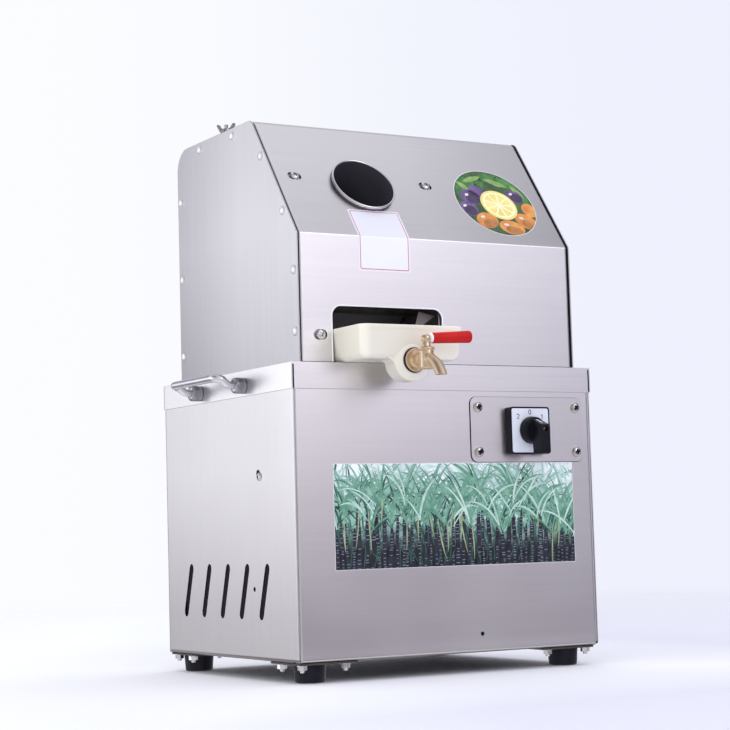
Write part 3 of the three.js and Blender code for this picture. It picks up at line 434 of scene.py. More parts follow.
def noise(nt, vec, scale, detail=3.0, rough=0.5, stretch=None):
    if stretch:
        mp = nt.nodes.new("ShaderNodeMapping")
        mp.inputs["Scale"].default_value = stretch
        nt.links.new(vec, mp.inputs["Vector"])
        vec = mp.outputs["Vector"]
    n = nt.nodes.new("ShaderNodeTexNoise")
    n.inputs["Scale"].default_value = scale
    n.inputs["Detail"].default_value = detail
    n.inputs["Roughness"].default_value = rough
    nt.links.new(vec, n.inputs["Vector"])
    return n.outputs["Fac"]


def ramp(nt, fac, lo, hi, a, b):
    r = nt.nodes.new("ShaderNodeValToRGB")
    e = r.color_ramp.elements
    e[0].position, e[1].position = lo, hi
    e[0].color = (*a, 1) if len(a) == 3 else a
    e[1].color = (*b, 1) if len(b) == 3 else b
    nt.links.new(fac, r.inputs["Fac"])
    return r.outputs["Color"]


def remap(nt, fac, lo, hi, a, b):
    r = nt.nodes.new("ShaderNodeMapRange")
    r.inputs["From Min"].default_value = lo
    r.inputs["From Max"].default_value = hi
    r.inputs["To Min"].default_value = a
    r.inputs["To Max"].default_value = b
    nt.links.new(fac, r.inputs["Value"])
    return r.outputs["Result"]


def bump(nt, height, strength, dist, bsdf, prev=None):
    b = nt.nodes.new("ShaderNodeBump")
    b.inputs["Strength"].default_value = strength
    b.inputs["Distance"].default_value = dist
    nt.links.new(height, b.inputs["Height"])
    if prev is not None:
        nt.links.new(prev, b.inputs["Normal"])
    nt.links.new(b.outputs["Normal"], bsdf.inputs["Normal"])
    return b.outputs["Normal"]


def srgb(r, g, b):
    f = lambda c: (c / 255 / 12.92) if c / 255 <= 0.04045 else ((c / 255 + 0.055) / 1.055) ** 2.4
    return (f(r), f(g), f(b))


def surface(name, a, b, metallic=0.0, rough=(0.35, 0.45), scale=60.0, colour_scale=8.0, bump_by=0.0, bump_scale=600.0, stretch=None,
            coat=0.0, coat_rough=0.1, spec=0.5, ior=None, sub=0.0, sub_radius=(0.01, 0.01, 0.01), aniso=0.0, wave=0.0, wave_scale=6.0):
    """A material whose colour, roughness and relief vary with procedural noise between the given pairs."""
    m, nt, p = new_mat(name)
    co = coords(nt)
    big = noise(nt, co, colour_scale, 3.0)
    nt.links.new(ramp(nt, big, 0.3, 0.7, a, b), p.inputs["Base Color"])
    fine = noise(nt, co, scale, 4.0, stretch=stretch)
    nt.links.new(remap(nt, fine, 0.3, 0.7, *rough), p.inputs["Roughness"])
    p.inputs["Metallic"].default_value = metallic
    p.inputs["Specular IOR Level"].default_value = spec
    if ior:
        p.inputs["IOR"].default_value = ior
    if coat:
        p.inputs["Coat Weight"].default_value = coat
        p.inputs["Coat Roughness"].default_value = coat_rough
    if sub:
        p.inputs["Subsurface Weight"].default_value = sub
        p.inputs["Subsurface Radius"].default_value = sub_radius
        p.inputs["Subsurface Scale"].default_value = 1.0
    prev = None
    if wave:
        prev = bump(nt, noise(nt, co, wave_scale, 1.0), 1.0, wave, p)
    if bump_by:
        bump(nt, noise(nt, co, bump_scale, 2.0, stretch=stretch), 1.0, bump_by, p, prev)
    MATS[name] = m
    return m


def painted_shade_along_x(name, *spans):
    """Scales a finished material's colour along the row's X axis, for painted light or shade: each span is (from, to,
    scale at from, scale at to).
    """
    m = MATS[name]
    nt = m.node_tree
    base = nt.nodes["Principled BSDF"].inputs["Base Color"]
    colour = base.links[0].from_socket
    sx = nt.nodes.new("ShaderNodeSeparateXYZ")
    nt.links.new(coords(nt), sx.inputs[0])
    for span in spans:
        sc = nt.nodes.new("ShaderNodeVectorMath")
        sc.operation = "SCALE"
        nt.links.new(colour, sc.inputs[0])
        nt.links.new(remap(nt, sx.outputs["X"], *span), sc.inputs["Scale"])
        colour = sc.outputs[0]
    nt.links.new(colour, base)


def brushed(name, low, high, rough, along, depth=0.0000014, fade=(), streak=1.0, foot=None):
    """Sheet steel with a fine grain along one axis: streaks in tone and roughness over soft clouds.
    fade: (axis, from, to, tone at from, tone at to), added up: painted light and shade along the sheet; foot: a painted
    dark line of shade along the lowest fold."""
    m, nt, p = new_mat(name)
    co = coords(nt)
    fine = noise(nt, co, 900.0, 2.0, stretch=tuple(0.010 if k == along else 1.0 for k in "xyz"))
    wide = noise(nt, co, 120.0, 2.0, stretch=tuple(0.035 if k == along else 1.0 for k in "xyz"))
    cloud = noise(nt, co, 4.5, 2.0)
    ad = nt.nodes.new("ShaderNodeMath")
    ad.operation = "ADD"
    nt.links.new(fine, ad.inputs[0])
    nt.links.new(wide, ad.inputs[1])
    ad2 = nt.nodes.new("ShaderNodeMath")
    ad2.operation = "ADD"
    nt.links.new(ad.outputs[0], ad2.inputs[0])
    nt.links.new(cloud, ad2.inputs[1])
    tone = remap(nt, ad2.outputs[0], 1.0, 2.0, 0.5 - 0.5 * streak, 0.5 + 0.5 * streak)
    sz = nt.nodes.new("ShaderNodeSeparateXYZ")
    nt.links.new(co, sz.inputs[0])
    for axis, *span in fade:
        dn = nt.nodes.new("ShaderNodeMath")
        dn.operation = "ADD"
        nt.links.new(tone, dn.inputs[0])
        nt.links.new(remap(nt, sz.outputs[axis], *span), dn.inputs[1])
        tone = dn.outputs[0]
    colour = ramp(nt, tone, 0.0, 1.0, low, high)
    # painted shade: the colour drops to a tenth along the lowest fold
    if foot:
        sc = nt.nodes.new("ShaderNodeVectorMath")
        sc.operation = "SCALE"
        nt.links.new(colour, sc.inputs[0])
        nt.links.new(remap(nt, sz.outputs["Z"], *foot, 0.10, 1.0), sc.inputs["Scale"])
        colour = sc.outputs[0]
    nt.links.new(colour, p.inputs["Base Color"])
    nt.links.new(remap(nt, cloud, 0.3, 0.7, *rough), p.inputs["Roughness"])
    p.inputs["Metallic"].default_value = 1.0
    prev = bump(nt, noise(nt, co, 2.2, 1.0), 1.0, 0.0006, p)
    bump(nt, fine, 1.0, depth, p, prev)
    MATS[name] = m
    return m


brushed("sheet_steel", (0.765, 0.755, 0.785), (0.850, 0.840, 0.860), (0.29, 0.37), "x", streak=0.6)
# hood sides: painted shade, darker toward the bottom and toward the back
brushed("hood_side_steel_painted_shade", (0.303, 0.300, 0.325), (0.845, 0.840, 0.882), (0.30, 0.38), "z", fade=(("Z", 0.37, 0.56, -0.12, 0.19), ("Y", 0.03, 0.21, 0.0, -0.26)), streak=0.08)
# cabinet sides: painted shade, darker toward the bottom and in a dark line along the bottom fold, with a painted
# highlight along the front edge
brushed("side_panel_steel_painted_light", (0.455, 0.450, 0.470), (0.882, 0.872, 0.895), (0.29, 0.37), "z", fade=(("Z", 0.08, 0.26, -0.19, 0.19), ("Y", -0.1318, -0.1290, 0.36, 0.0)), streak=0.08, foot=(0.0258, 0.0274))
# cabinet front: painted shade, darker toward the bottom and in a dark line along the bottom fold, with a painted
# lighter strip just above that fold
brushed("front_steel", (0.625, 0.617, 0.642), (0.890, 0.880, 0.905), (0.29, 0.37), "x", fade=(("Z", 0.06, 0.33, -0.27, 0.36), ("Z", 0.030, 0.048, 0.30, 0.0)), streak=0.17, foot=(0.0258, 0.0280))
# hood slope: painted light and shade, lighter on the left and darker on the right, darker low and lighter toward the
# top
brushed("slope_steel_painted_shade", (0.588, 0.580, 0.606), (0.890, 0.880, 0.905), (0.29, 0.37), "x", fade=(("X", 0.0, 0.19, 0.30, -0.25), ("Z", 0.56, 0.68, -0.10, 0.22)), streak=0.15)
brushed("deck_steel", (0.810, 0.800, 0.830), (0.890, 0.880, 0.905), (0.29, 0.37), "x")
# near-black inside faces: painted shade of the closed inside
surface("inside_steel_painted_shade", (0.020, 0.0195, 0.024), (0.034, 0.033, 0.040), metallic=0.3, rough=(0.50, 0.65), scale=60.0, colour_scale=12.0, bump_by=0.00001, bump_scale=300.0)
# near-black: painted shade in gaps, seams, slots and screw recesses
surface("dark_gap", (0.010, 0.010, 0.012), (0.020, 0.019, 0.022), rough=(0.6, 0.75), scale=200.0, colour_scale=60.0, bump_by=0.00002, bump_scale=500.0, spec=0.2)
surface("rivet_alloy", (0.86, 0.86, 0.88), (0.93, 0.93, 0.94), metallic=0.75, rough=(0.34, 0.44), scale=300.0, colour_scale=140.0, bump_by=0.000006, bump_scale=900.0)
# near-black bore: painted shade inside the feed tube
surface("tube_bore_painted_shade", (0.044, 0.042, 0.054), (0.060, 0.058, 0.072), rough=(0.75, 0.85), scale=60.0, colour_scale=14.0, bump_by=0.00001, bump_scale=300.0, spec=0.08)
surface("seam_painted_shade_lighter", (0.74, 0.735, 0.77), (0.82, 0.815, 0.85), metallic=1.0, rough=(0.30, 0.40), scale=90.0, colour_scale=20.0, bump_by=0.00001, bump_scale=300.0)
# darker steel for the seam strips: painted shade; also used for the guide plate's edge
surface("seam_steel", (0.46, 0.455, 0.49), (0.56, 0.555, 0.59), metallic=1.0, rough=(0.30, 0.40), scale=90.0, colour_scale=20.0, bump_by=0.00001, bump_scale=300.0)
# near-white rim: painted highlight round the hood's notch
surface("rim_steel", (0.91, 0.90, 0.92), (0.96, 0.95, 0.96), metallic=0.05, rough=(0.34, 0.44), scale=120.0, colour_scale=40.0, bump_by=0.000004, bump_scale=600.0)
surface("chrome_satin", (0.86, 0.88, 0.95), (0.91, 0.93, 0.98), metallic=1.0, rough=(0.26, 0.34), scale=90.0, colour_scale=30.0, bump_by=0.000002, bump_scale=300.0)
# darker copy of the chrome for the handle bosses: painted dark reflection
surface("chrome_painted_dark_reflection", (0.30, 0.30, 0.33), (0.46, 0.46, 0.49), metallic=1.0, rough=(0.10, 0.18), scale=90.0, colour_scale=55.0, bump_by=0.000004, bump_scale=300.0)
# dark corner plates under the cabinet: painted shade
surface("plate_steel", (0.085, 0.070, 0.072), (0.14, 0.118, 0.118), metallic=0.85, rough=(0.35, 0.5), scale=160.0, colour_scale=70.0, bump_by=0.00001, bump_scale=500.0)
# dark ring round the feed tube's foot: painted shadow
surface("weld_steel", (0.13, 0.128, 0.14), (0.22, 0.215, 0.23), metallic=1.0, rough=(0.22, 0.34), scale=120.0, colour_scale=40.0, bump_by=0.00001, bump_scale=400.0)
surface("guide_steel", (0.20, 0.165, 0.168), (0.28, 0.235, 0.238), metallic=0.35, rough=(0.4, 0.55), scale=80.0, colour_scale=30.0, bump_by=0.00001, bump_scale=300.0)
# dark bluish steel for the juice guide pan inside the hood: painted shade
surface("pan_steel", (0.150, 0.150, 0.190), (0.200, 0.200, 0.245), metallic=0.35, rough=(0.4, 0.55), scale=80.0, colour_scale=30.0, bump_by=0.00001, bump_scale=300.0)
# near-black sheet behind the slots: painted shade
surface("felt_dark", (0.010, 0.010, 0.014), (0.022, 0.021, 0.028), rough=(0.85, 0.95), scale=500.0, colour_scale=260.0, bump_by=0.0001, bump_scale=900.0, spec=0.1)
# near-black tie bars inside the hood: painted shade
surface("tie_steel", (0.030, 0.029, 0.033), (0.050, 0.048, 0.054), metallic=0.6, rough=(0.4, 0.55), scale=160.0, colour_scale=70.0, bump_by=0.00001, bump_scale=500.0)
surface("polished_steel", (0.78, 0.78, 0.80), (0.86, 0.86, 0.87), metallic=1.0, rough=(0.06, 0.13), scale=90.0, colour_scale=30.0, bump_by=0.000002, bump_scale=300.0)
surface("screw_steel", (0.50, 0.49, 0.49), (0.66, 0.65, 0.64), metallic=1.0, rough=(0.06, 0.11), scale=400.0, colour_scale=160.0, bump_by=0.000004, bump_scale=900.0)
surface("nut_zinc", (0.80, 0.80, 0.83), (0.90, 0.90, 0.91), metallic=1.0, rough=(0.18, 0.3), scale=160.0, colour_scale=70.0, bump_by=0.00001, bump_scale=500.0)
surface("zinc_steel", (0.30, 0.30, 0.32), (0.42, 0.42, 0.43), metallic=1.0, rough=(0.3, 0.48), scale=160.0, colour_scale=70.0, bump_by=0.00001, bump_scale=500.0)
surface("machined_steel", (0.45, 0.45, 0.47), (0.60, 0.60, 0.61), metallic=1.0, rough=(0.25, 0.42), scale=120.0, colour_scale=25.0, bump_by=0.000012, bump_scale=350.0, stretch=(1.0, 0.2, 1.0))
surface("wing_zinc", (0.36, 0.36, 0.38), (0.50, 0.50, 0.51), metallic=1.0, rough=(0.3, 0.45), scale=160.0, colour_scale=70.0, bump_by=0.00001, bump_scale=500.0)
surface("bronze", (0.50, 0.28, 0.13), (0.66, 0.40, 0.19), metallic=1.0, rough=(0.3, 0.45), scale=120.0, colour_scale=40.0, bump_by=0.000012, bump_scale=400.0)
surface("brass", (0.76, 0.598, 0.412), (0.87, 0.698, 0.492), metallic=1.0, rough=(0.26, 0.34), scale=150.0, colour_scale=60.0, bump_by=0.000006, bump_scale=300.0)
surface("cast_iron", (0.075, 0.075, 0.08), (0.15, 0.145, 0.14), metallic=0.8, rough=(0.42, 0.62), scale=140.0, colour_scale=40.0, bump_by=0.00008, bump_scale=500.0)
surface("frame_paint", (0.030, 0.031, 0.036), (0.048, 0.049, 0.056), rough=(0.38, 0.5), scale=120.0, colour_scale=14.0, bump_by=0.00003, bump_scale=500.0)
surface("grey_paint", (0.048, 0.052, 0.060), (0.070, 0.074, 0.084), rough=(0.34, 0.46), scale=120.0, colour_scale=14.0, bump_by=0.00004, bump_scale=450.0)
surface("black_plastic", (0.0062, 0.0060, 0.0095), (0.0100, 0.0096, 0.0145), rough=(0.26, 0.36), scale=350.0, colour_scale=40.0, bump_by=0.000010, bump_scale=1500.0, spec=0.13)
surface("dial_plastic", (0.68, 0.71, 0.80), (0.74, 0.77, 0.85), rough=(0.3, 0.38), scale=200.0, colour_scale=50.0, bump_by=0.000006, bump_scale=900.0)
surface("white_plastic", (0.80, 0.80, 0.84), (0.88, 0.88, 0.90), rough=(0.3, 0.38), scale=200.0, colour_scale=50.0, bump_by=0.000006, bump_scale=900.0)
surface("cream_plastic", (0.885, 0.843, 0.728), (0.915, 0.875, 0.772), rough=(0.20, 0.27), scale=60.0, colour_scale=14.0, bump_by=0.000015, bump_scale=260.0,
        sub=0.25, sub_radius=(0.004, 0.0035, 0.0025))
# tray: painted shade, a darker band on the tray's left up to the tap
painted_shade_along_x("cream_plastic", (-0.1530, -0.1400, 1.0, 0.87), (-0.0850, -0.0500, 1.0, 1.0 / 0.87))
# label's slope part darker than its front: painted shade
surface("sticker_painted_shade", (0.68, 0.68, 0.76), (0.72, 0.72, 0.80), rough=(0.3, 0.38), scale=60.0, colour_scale=10.0, bump_by=0.000005, bump_scale=300.0)
surface("red_plastic", (0.47, 0.009, 0.009), (0.56, 0.013, 0.012), rough=(0.30, 0.42), scale=200.0, colour_scale=60.0, bump_by=0.00002, bump_scale=520.0, spec=0.18)
surface("rubber", (0.0100, 0.0108, 0.0165), (0.0160, 0.0170, 0.0245), rough=(0.30, 0.42), scale=140.0, colour_scale=50.0, bump_by=0.00002, bump_scale=500.0, spec=0.16)
surface("washer_rubber", (0.008, 0.008, 0.009), (0.014, 0.014, 0.015), rough=(0.5, 0.62), scale=140.0, colour_scale=50.0, bump_by=0.00002, bump_scale=500.0)
surface("dark_ink", (0.02, 0.02, 0.03), (0.04, 0.04, 0.055), rough=(0.4, 0.5), scale=300.0, colour_scale=90.0)
surface("sticker_white", (0.83, 0.83, 0.90), (0.88, 0.88, 0.93), rough=(0.3, 0.38), scale=60.0, colour_scale=10.0, bump_by=0.000005, bump_scale=300.0)
surface("sticker_pink", (0.50, 0.145, 0.175), (0.62, 0.21, 0.24), rough=(0.3, 0.38), scale=60.0, colour_scale=30.0)

CAD_SLOTS = {}
for m in frame["record"].get("materials", []):
    CAD_SLOTS[m.get("slot")] = m
SLOT_OF = {}
SLOT_RULES = {
    "rubber": ["foot_", "tap_washer"],
    "zinc_steel": ["corner_plate", "tie_bar", "wing_nut"],
    "frame_paint": ["chassis_frame"],
    "sheet_steel": ["cabinet_", "top_deck", "switch_mounting_plate", "hood_", "bagasse_chute", "juice_guide_pan"],
    "polished_steel": ["handle_", "feed_tube", "top_scraper"],
    "black_plastic": ["switch_bezel", "switch_contact", "switch_knob", "cable_gland"],
    "dial_plastic": ["switch_dial", "tap_collar"],
    "machined_steel": ["mill_", "turn_plate", "top_roller", "front_roller", "rear_roller", "gearbox_output_shaft"],
    "bronze": ["bush_"],
    "cast_iron": ["top_gear", "front_gear", "rear_gear", "roller_sprocket", "output_sprocket", "drive_chain"],
    "cream_plastic": ["juice_tray"],
    "brass": ["tap_body", "tap_plug"],
    "red_plastic": ["tap_grip"],
    "grey_paint": ["gearbox", "motor"],
}


def slot_of(node):
    best = None
    for s, keys in SLOT_RULES.items():
        for k in keys:
            if node.startswith(k) and (best is None or len(k) > best[1]):
                best = (s, len(k))
    return best[0]


# ------------------------------------------------------------------ CAD nodes that stay: softened edges and a finish
BEVEL_OF = {"sheet_steel": 0.00028, "cast_iron": 0.0005, "grey_paint": 0.0012, "frame_paint": 0.0006, "machined_steel": 0.0005, "zinc_steel": 0.0003,
            "bronze": 0.0004, "black_plastic": 0.0005, "polished_steel": 0.0003}
NODE_BODY = {n: o["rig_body"] for n, o in frame["nodes"].items()}
for n, o in frame["nodes"].items():
    s = slot_of(n)
    SLOT_OF[n] = s
    me = o.data
    me.materials.clear()
    me.materials.append(MATS["side_panel_steel_painted_light" if n in ("cabinet_left_panel", "cabinet_right_panel") else "front_steel" if n == "cabinet_front_panel" else "pan_steel" if n == "juice_guide_pan" else "tie_steel" if n.startswith("tie_bar") else s])
    me.polygons.foreach_set("material_index", [0] * len(me.polygons))
    # inward faces of the cabinet panels take the near-black painted shade
    if n.startswith("cabinet_"):
        me.materials.append(MATS["inside_steel_painted_shade"])
        mid = W(0, 191, 170)
        me.polygons.foreach_set("material_index", [1 if (q.center - mid).dot(q.normal) < 0 and max(abs(k) for k in q.normal) > 0.9 and q.area > 2e-5 else 0 for q in me.polygons])
    for a in ("custom_normal", "sharp_face", "sharp_edge"):
        if a in me.attributes:
            me.attributes.remove(me.attributes[a])
    me.polygons.foreach_set("use_smooth", [True] * len(me.polygons))
    w = o.modifiers.new("weld", "WELD")
    w.merge_threshold = 0.00001
    d = o.modifiers.new("flat", "DECIMATE")
    d.decimate_type = "DISSOLVE"
    d.angle_limit = math.radians(0.3)
    b = o.modifiers.new("edges", "BEVEL")
    b.width = BEVEL_OF.get(s, 0.0004)
    b.segments = 2
    b.limit_method = "ANGLE"
    b.angle_limit = math.radians(32)
    b.use_clamp_overlap = True
    wn = o.modifiers.new("normals", "WEIGHTED_NORMAL")
    wn.keep_sharp = True

# ================================================================== feet
FOOT = [(0, 4.6), (6.3, 4.6)] + [(6.3, 0.6), (6.9, 0.0), (15.6, 0.0)] + arc(15.6, 2.6, 2.6, -90, -4, 6)[1:] + [(19.55, 20.6)] + arc(18.8, 21.2, 0.95, 8, 90, 5) + [(0, 22.2)]
FEET = {"foot_front_left": (-186, 36), "foot_front_right": (186, 36), "foot_rear_left": (-186, 350), "foot_rear_right": (186, 350)}
for n, (x, y) in FEET.items():
    f = lathe(FOOT, 56, (x, y, -25))
    round_edges(f, 0, 1, 30, True)
    piece(f, n + "_rubber", "rubber", replaces=n)
    w = lathe([(0, 0.2), (5.7, 0.2), (5.9, 0.5), (5.9, 1.4), (3.2, 1.4), (3.2, 0.6), (0, 0.6)], 32, (x, y, -25 + 3.1))
    round_edges(w, 0.12, 2)
    piece(w, n + "_washer", "zinc_steel")


# ================================================================== screws, nuts, rivets
def pan_head(r, h, at, axis, recess=True, turn=0.0, depth=None, under=0.3):
    """Domed head with a cross recess."""
    prof = [(0, -under), (r, -under), (r, h * 0.22)]
    for k in range(1, 9):
        a = math.radians(90 * k / 8)
        prof.append((r * (0.02 + 0.98 * math.cos(a) ** 0.85) if k < 8 else 0, h * (0.22 + 0.78 * math.sin(a))))
    o = lathe(prof, 36, at, axis)
    if recess:
        x, y, z = frame_of(axis)
        c, s = math.cos(turn), math.sin(turn)
        u, v = x * c + y * s, y * c - x * s
        arm, wid, dep = r * 0.64, r * 0.21, depth or h * 0.62
        cross = []
        for k in range(4):
            a = u if k == 0 else v if k == 1 else -u if k == 2 else -v
            b = v if k == 0 else -u if k == 1 else -v if k == 2 else u
            cross += [a * arm - b * wid, a * arm + b * wid, a * wid * 1.25 + b * wid * 1.25]
        bm = bmesh.new()
        at = Vector(at)
        top = [bm.verts.new(at + p + z * (h + 0.5)) for p in cross]
        bot = [bm.verts.new(at + p * 0.5 + z * (h - dep)) for p in cross]
        bm.faces.new(top)
        bm.faces.new(bot[::-1])
        for i in range(12):
            bm.faces.new((top[i], bot[i], bot[(i + 1) % 12], top[(i + 1) % 12]))
        boolean(o, [to_obj(bm)])
        tidy(o, 0.002, False)
    round_edges(o, 0.07 * r / 4.5, 1, 50)
    # recess faces take the caller's second material, given darker than the head: painted shade in the recess
    if recess:
        z = Vector(axis).normalized()
        for q in o.data.polygons:
            hgt = (q.center - Vector(at)).dot(z)
            rad = ((q.center - Vector(at)) - z * hgt).length
            if rad < r * 0.66:
                ca = max(0.0, (rad / r - 0.02) / 0.98) ** (1 / 0.85)
                dome_h = h * (0.22 + 0.78 * math.sqrt(max(0.0, 1 - ca * ca)))
                if hgt < dome_h - 0.16 * h:
                    q.material_index = 1
    return o


def rivet(r, h, at, axis):
    prof = [(0, -0.2), (r, -0.2), (r, 0.15)]
    for k in range(1, 8):
        a = math.radians(90 * k / 8)
        prof.append((r * math.cos(a) ** 0.9, 0.15 + (h - 0.15) * math.sin(a)))
    prof += [(0.8, h * 0.995), (0.6, h * 0.95), (0.35, h * 0.91), (0, h * 0.90)]
    o = lathe(prof, 32, at, axis)
    return round_edges(o, 0, 1)


def hex_nut(r, h, at, axis, bore=None, turn=0.0):
    """Chamfered hex; r is the corner radius."""
    x, y, z = frame_of(axis)
    bm = bmesh.new()
    at = Vector(at)
    pts = [x * math.cos(turn + math.pi * k / 3) * r + y * math.sin(turn + math.pi * k / 3) * r for k in range(6)]
    lo = [bm.verts.new(at + p) for p in pts]
    hi = [bm.verts.new(at + p + z * h) for p in pts]
    bm.faces.new(lo)
    bm.faces.new(hi)
    for i in range(6):
        bm.faces.new((lo[i], lo[(i + 1) % 6], hi[(i + 1) % 6], hi[i]))
    o = to_obj(bm)
    c = h * 0.13
    keep = lathe([(0, 0), (r * 0.87, 0), (r * 1.02, c), (r * 1.02, h - c), (r * 0.87, h), (0, h)], 48, at, axis)
    boolean(o, [keep], "INTERSECT")
    if bore:
        boolean(o, [lathe([(0, -1), (bore, -1), (bore, h + 1), (0, h + 1)], 32, at, axis)])
    tidy(o, 0.003)
    return round_edges(o, 0.12, 2, 35)


def threaded(r, length, at, axis, pitch=0.8, tip=0.6):
    """Rod with thread-like grooves and a chamfered tip at +length."""
    prof = [(0, 0)]
    h = 0.0
    prof.append((r, 0))
    while h + pitch < length - tip:
        prof += [(r, h + pitch * 0.12), (r * 0.87, h + pitch * 0.5), (r, h + pitch * 0.88)]
        h += pitch
    prof += [(r * 0.97, length - tip), (r * 0.72, length), (0, length)]
    o = lathe(prof, 28, at, axis)
    return round_edges(o, 0, 1)


# corner plates: the plate itself, and its nuts, washers and stud ends
for n in FEET:
    sx = -1 if "left" in n else 1
    front = "front" in n
    x0 = sx * 219.0
    y0 = 1.5 if front else 380.5
    ix, iy = -sx, (1 if front else -1)
    xs, ys = sorted((x0 + ix * 4.5, x0 + ix * 84)), sorted((y0 + iy * 3.5, y0 + iy * 84))
    pl = prism("z", rrect(xs[0], xs[1], ys[0], ys[1], 3.0, 5), -2.6, -0.25)
    round_edges(pl, 0.35, 2)
    cn = n.replace("foot_", "corner_plate_")
    piece(pl, cn + "_steel", "plate_steel", replaces=cn)
    parts = []
    for k, (dx, dy) in enumerate(((12, 14), (71, 14), (10, 62))):
        cx, cy = x0 + ix * dx, y0 + iy * dy
        parts.append(round_edges(lathe([(0, 0), (6.6, 0), (6.6, 1.1), (0, 1.1)], 40, (cx, cy, -3.75)), 0.15, 2))
        parts.append(hex_nut(5.95, 4.7, (cx, cy, -8.5), (0, 0, 1), turn=0.3 + k * 0.7))
        parts.append(threaded(3.0, 5.4, (cx, cy, -6.2), (0, 0, -1)))
    piece(join(*parts), cn + "_nuts", "nut_zinc")

# ================================================================== hood
HOLE_R = 43.05


def hood_poly(o, zb, n=12):
    k = KNEE_Z - ((1 - TZ) / TY) * o
    ry = HOOD_Y0 + (TY * (ROOF_Z - KNEE_Z - o) + o) / TZ
    return fillet([[HOOD_Y0 + o, zb, 0], [HOOD_Y0 + o, k, max(0.6, 4 - o)], [ry, ROOF_Z - o, max(0.8, 13 - o)],
                   [HOOD_Y1 - o, ROOF_Z - o, 30 - o], [HOOD_Y1 - o, zb, 0]], n)


def bent_sheet(outer, inner, x0, x1):
    """Sheet bent on an open profile: outer and inner rows of (y, z) points of the same length."""
    bm = bmesh.new()
    rows = []
    for x in (x0, x1):
        rows.append([bm.verts.new((x, *p)) for p in outer] + [bm.verts.new((x, *p)) for p in reversed(inner)])
    n = len(rows[0])
    for i in range(n):
        j = (i + 1) % n
        bm.faces.new((rows[0][i], rows[0][j], rows[1][j], rows[1][i]))
    m = len(outer)
    for r in rows:
        for i in range(m - 1):
            bm.faces.new((r[i], r[i + 1], r[n - 2 - i], r[n - 1 - i]))
    return to_obj(bm)


ROLL = [(198.9, 2.3), (198.7, 1.35), (198.15, 0.7), (197.3, 0.28), (196.2, 0.06), (195.2, 0.0)]
WRAP_Z0 = HOOD_Z0 + 1.6     # the bent sheet stops just over the deck


def rolled_sheet(stations):
    """Bent sheet lofted through (x, inset) stations, so that its side edges roll inward."""
    bm = bmesh.new()
    loops = []
    for x, o in stations:
        a, b = hood_poly(o, WRAP_Z0), hood_poly(o + SHEET, WRAP_Z0)
        loops.append([bm.verts.new((x, *p)) for p in a] + [bm.verts.new((x, *p)) for p in reversed(b)])
    n = len(loops[0])
    m = n // 2
    for r, q in zip(loops, loops[1:]):
        for i in range(n):
            j = (i + 1) % n
            bm.faces.new((r[i], r[j], q[j], q[i]))
    for r in (loops[0], loops[-1]):
        for i in range(m - 1):
            bm.faces.new((r[i], r[i + 1], r[n - 2 - i], r[n - 1 - i]))
    return to_obj(bm)


def shade_inside(o, mid, index=1):
    """Gives the faces that look inward another material, the near-black painted shade of the inside."""
    for q in o.data.polygons:
        v = q.center - Vector(mid)
        v.x = 0
        if abs(q.normal.x) < 0.6 and v.dot(q.normal) < 0:
            q.material_index = index


wrap = rolled_sheet([(-x, o) for x, o in ROLL] + [(x, o) for x, o in reversed(ROLL)])
flange_poly = hood_poly(15, HOOD_Z0 - 9)
cuts = [
    prism("y", rrect(-155.5, 2, HOOD_Z0 - 9, 429, [0, 0, 12.5, 12.5], 14), 5, 20),
    flared("y", rrect(-155.5, 2, HOOD_Z0 - 9, 429, [0, 0, 12.5, 12.5], 14), rrect(-156.1, 2.6, HOOD_Z0 - 9, 429.6, [0, 0, 13.1, 13.1], 14), HOOD_Y0 + 0.85, HOOD_Y0 - 0.25),
    prism("y", rrect(-162, 10, 432, 548, 6, 8), 345, 360),
    slope_prism(ring(-79, 88, HOLE_R, 96), -10, 6),
    prism("z", ring(-172, 260, 4.4, 32), 670, 690),
    prism("z", ring(19.4, 260, 4.4, 32), 670, 690),
]
SLOPE_SCREWS = [(-171.8, 99.6), (19.4, 98.9)]
LOW_SCREWS = [(-172.5, 393.2), (19.4, 393.2)]
for x, s in SLOPE_SCREWS:
    cuts.append(slope_prism(stadium((x - 3, s), (x + 3, s), 12.8, 14), -6, 6))
for x, z in LOW_SCREWS:
    cuts.append(prism("y", stadium((x - 3, z), (x + 3, z), 12.8, 14), 5, 20))
boolean(wrap, cuts)
tidy(wrap, 0.003, False)
# side flanges turned in behind the side sheets, as inner strips in near-black: painted shade in the seams
strips = []
for s in (-1, 1):
    a, b = sorted((s * 197.2, s * 200.7))
    strips.append(bent_sheet(hood_poly(3.7, HOOD_Z0 + 1), hood_poly(15, HOOD_Z0 + 1), a, b))
round_edges(wrap, 0.3, 2, 32)
shade_inside(wrap, (0, 190, 500))
for q in wrap.data.polygons:
    if q.normal.dot(SLOPE_N) > 0.985:
        q.material_index = 2
    # faces of the notch's flared cut take the painted highlight
    elif HOOD_Y0 - 0.3 < q.center.y < HOOD_Y0 + 0.84 and -0.97 < q.normal.y < -0.1 and (-157.6 < q.center.x < -154.6 or 1.2 < q.center.x < 4.2 or 428 < q.center.z < 431.2) and -157.6 < q.center.x < 4.2 and q.center.z < 431.2:
        q.material_index = 3
piece(wrap, "hood_wrap_sheet", ["sheet_steel", "inside_steel_painted_shade", "slope_steel_painted_shade", "rim_steel"], replaces="hood_wrap")
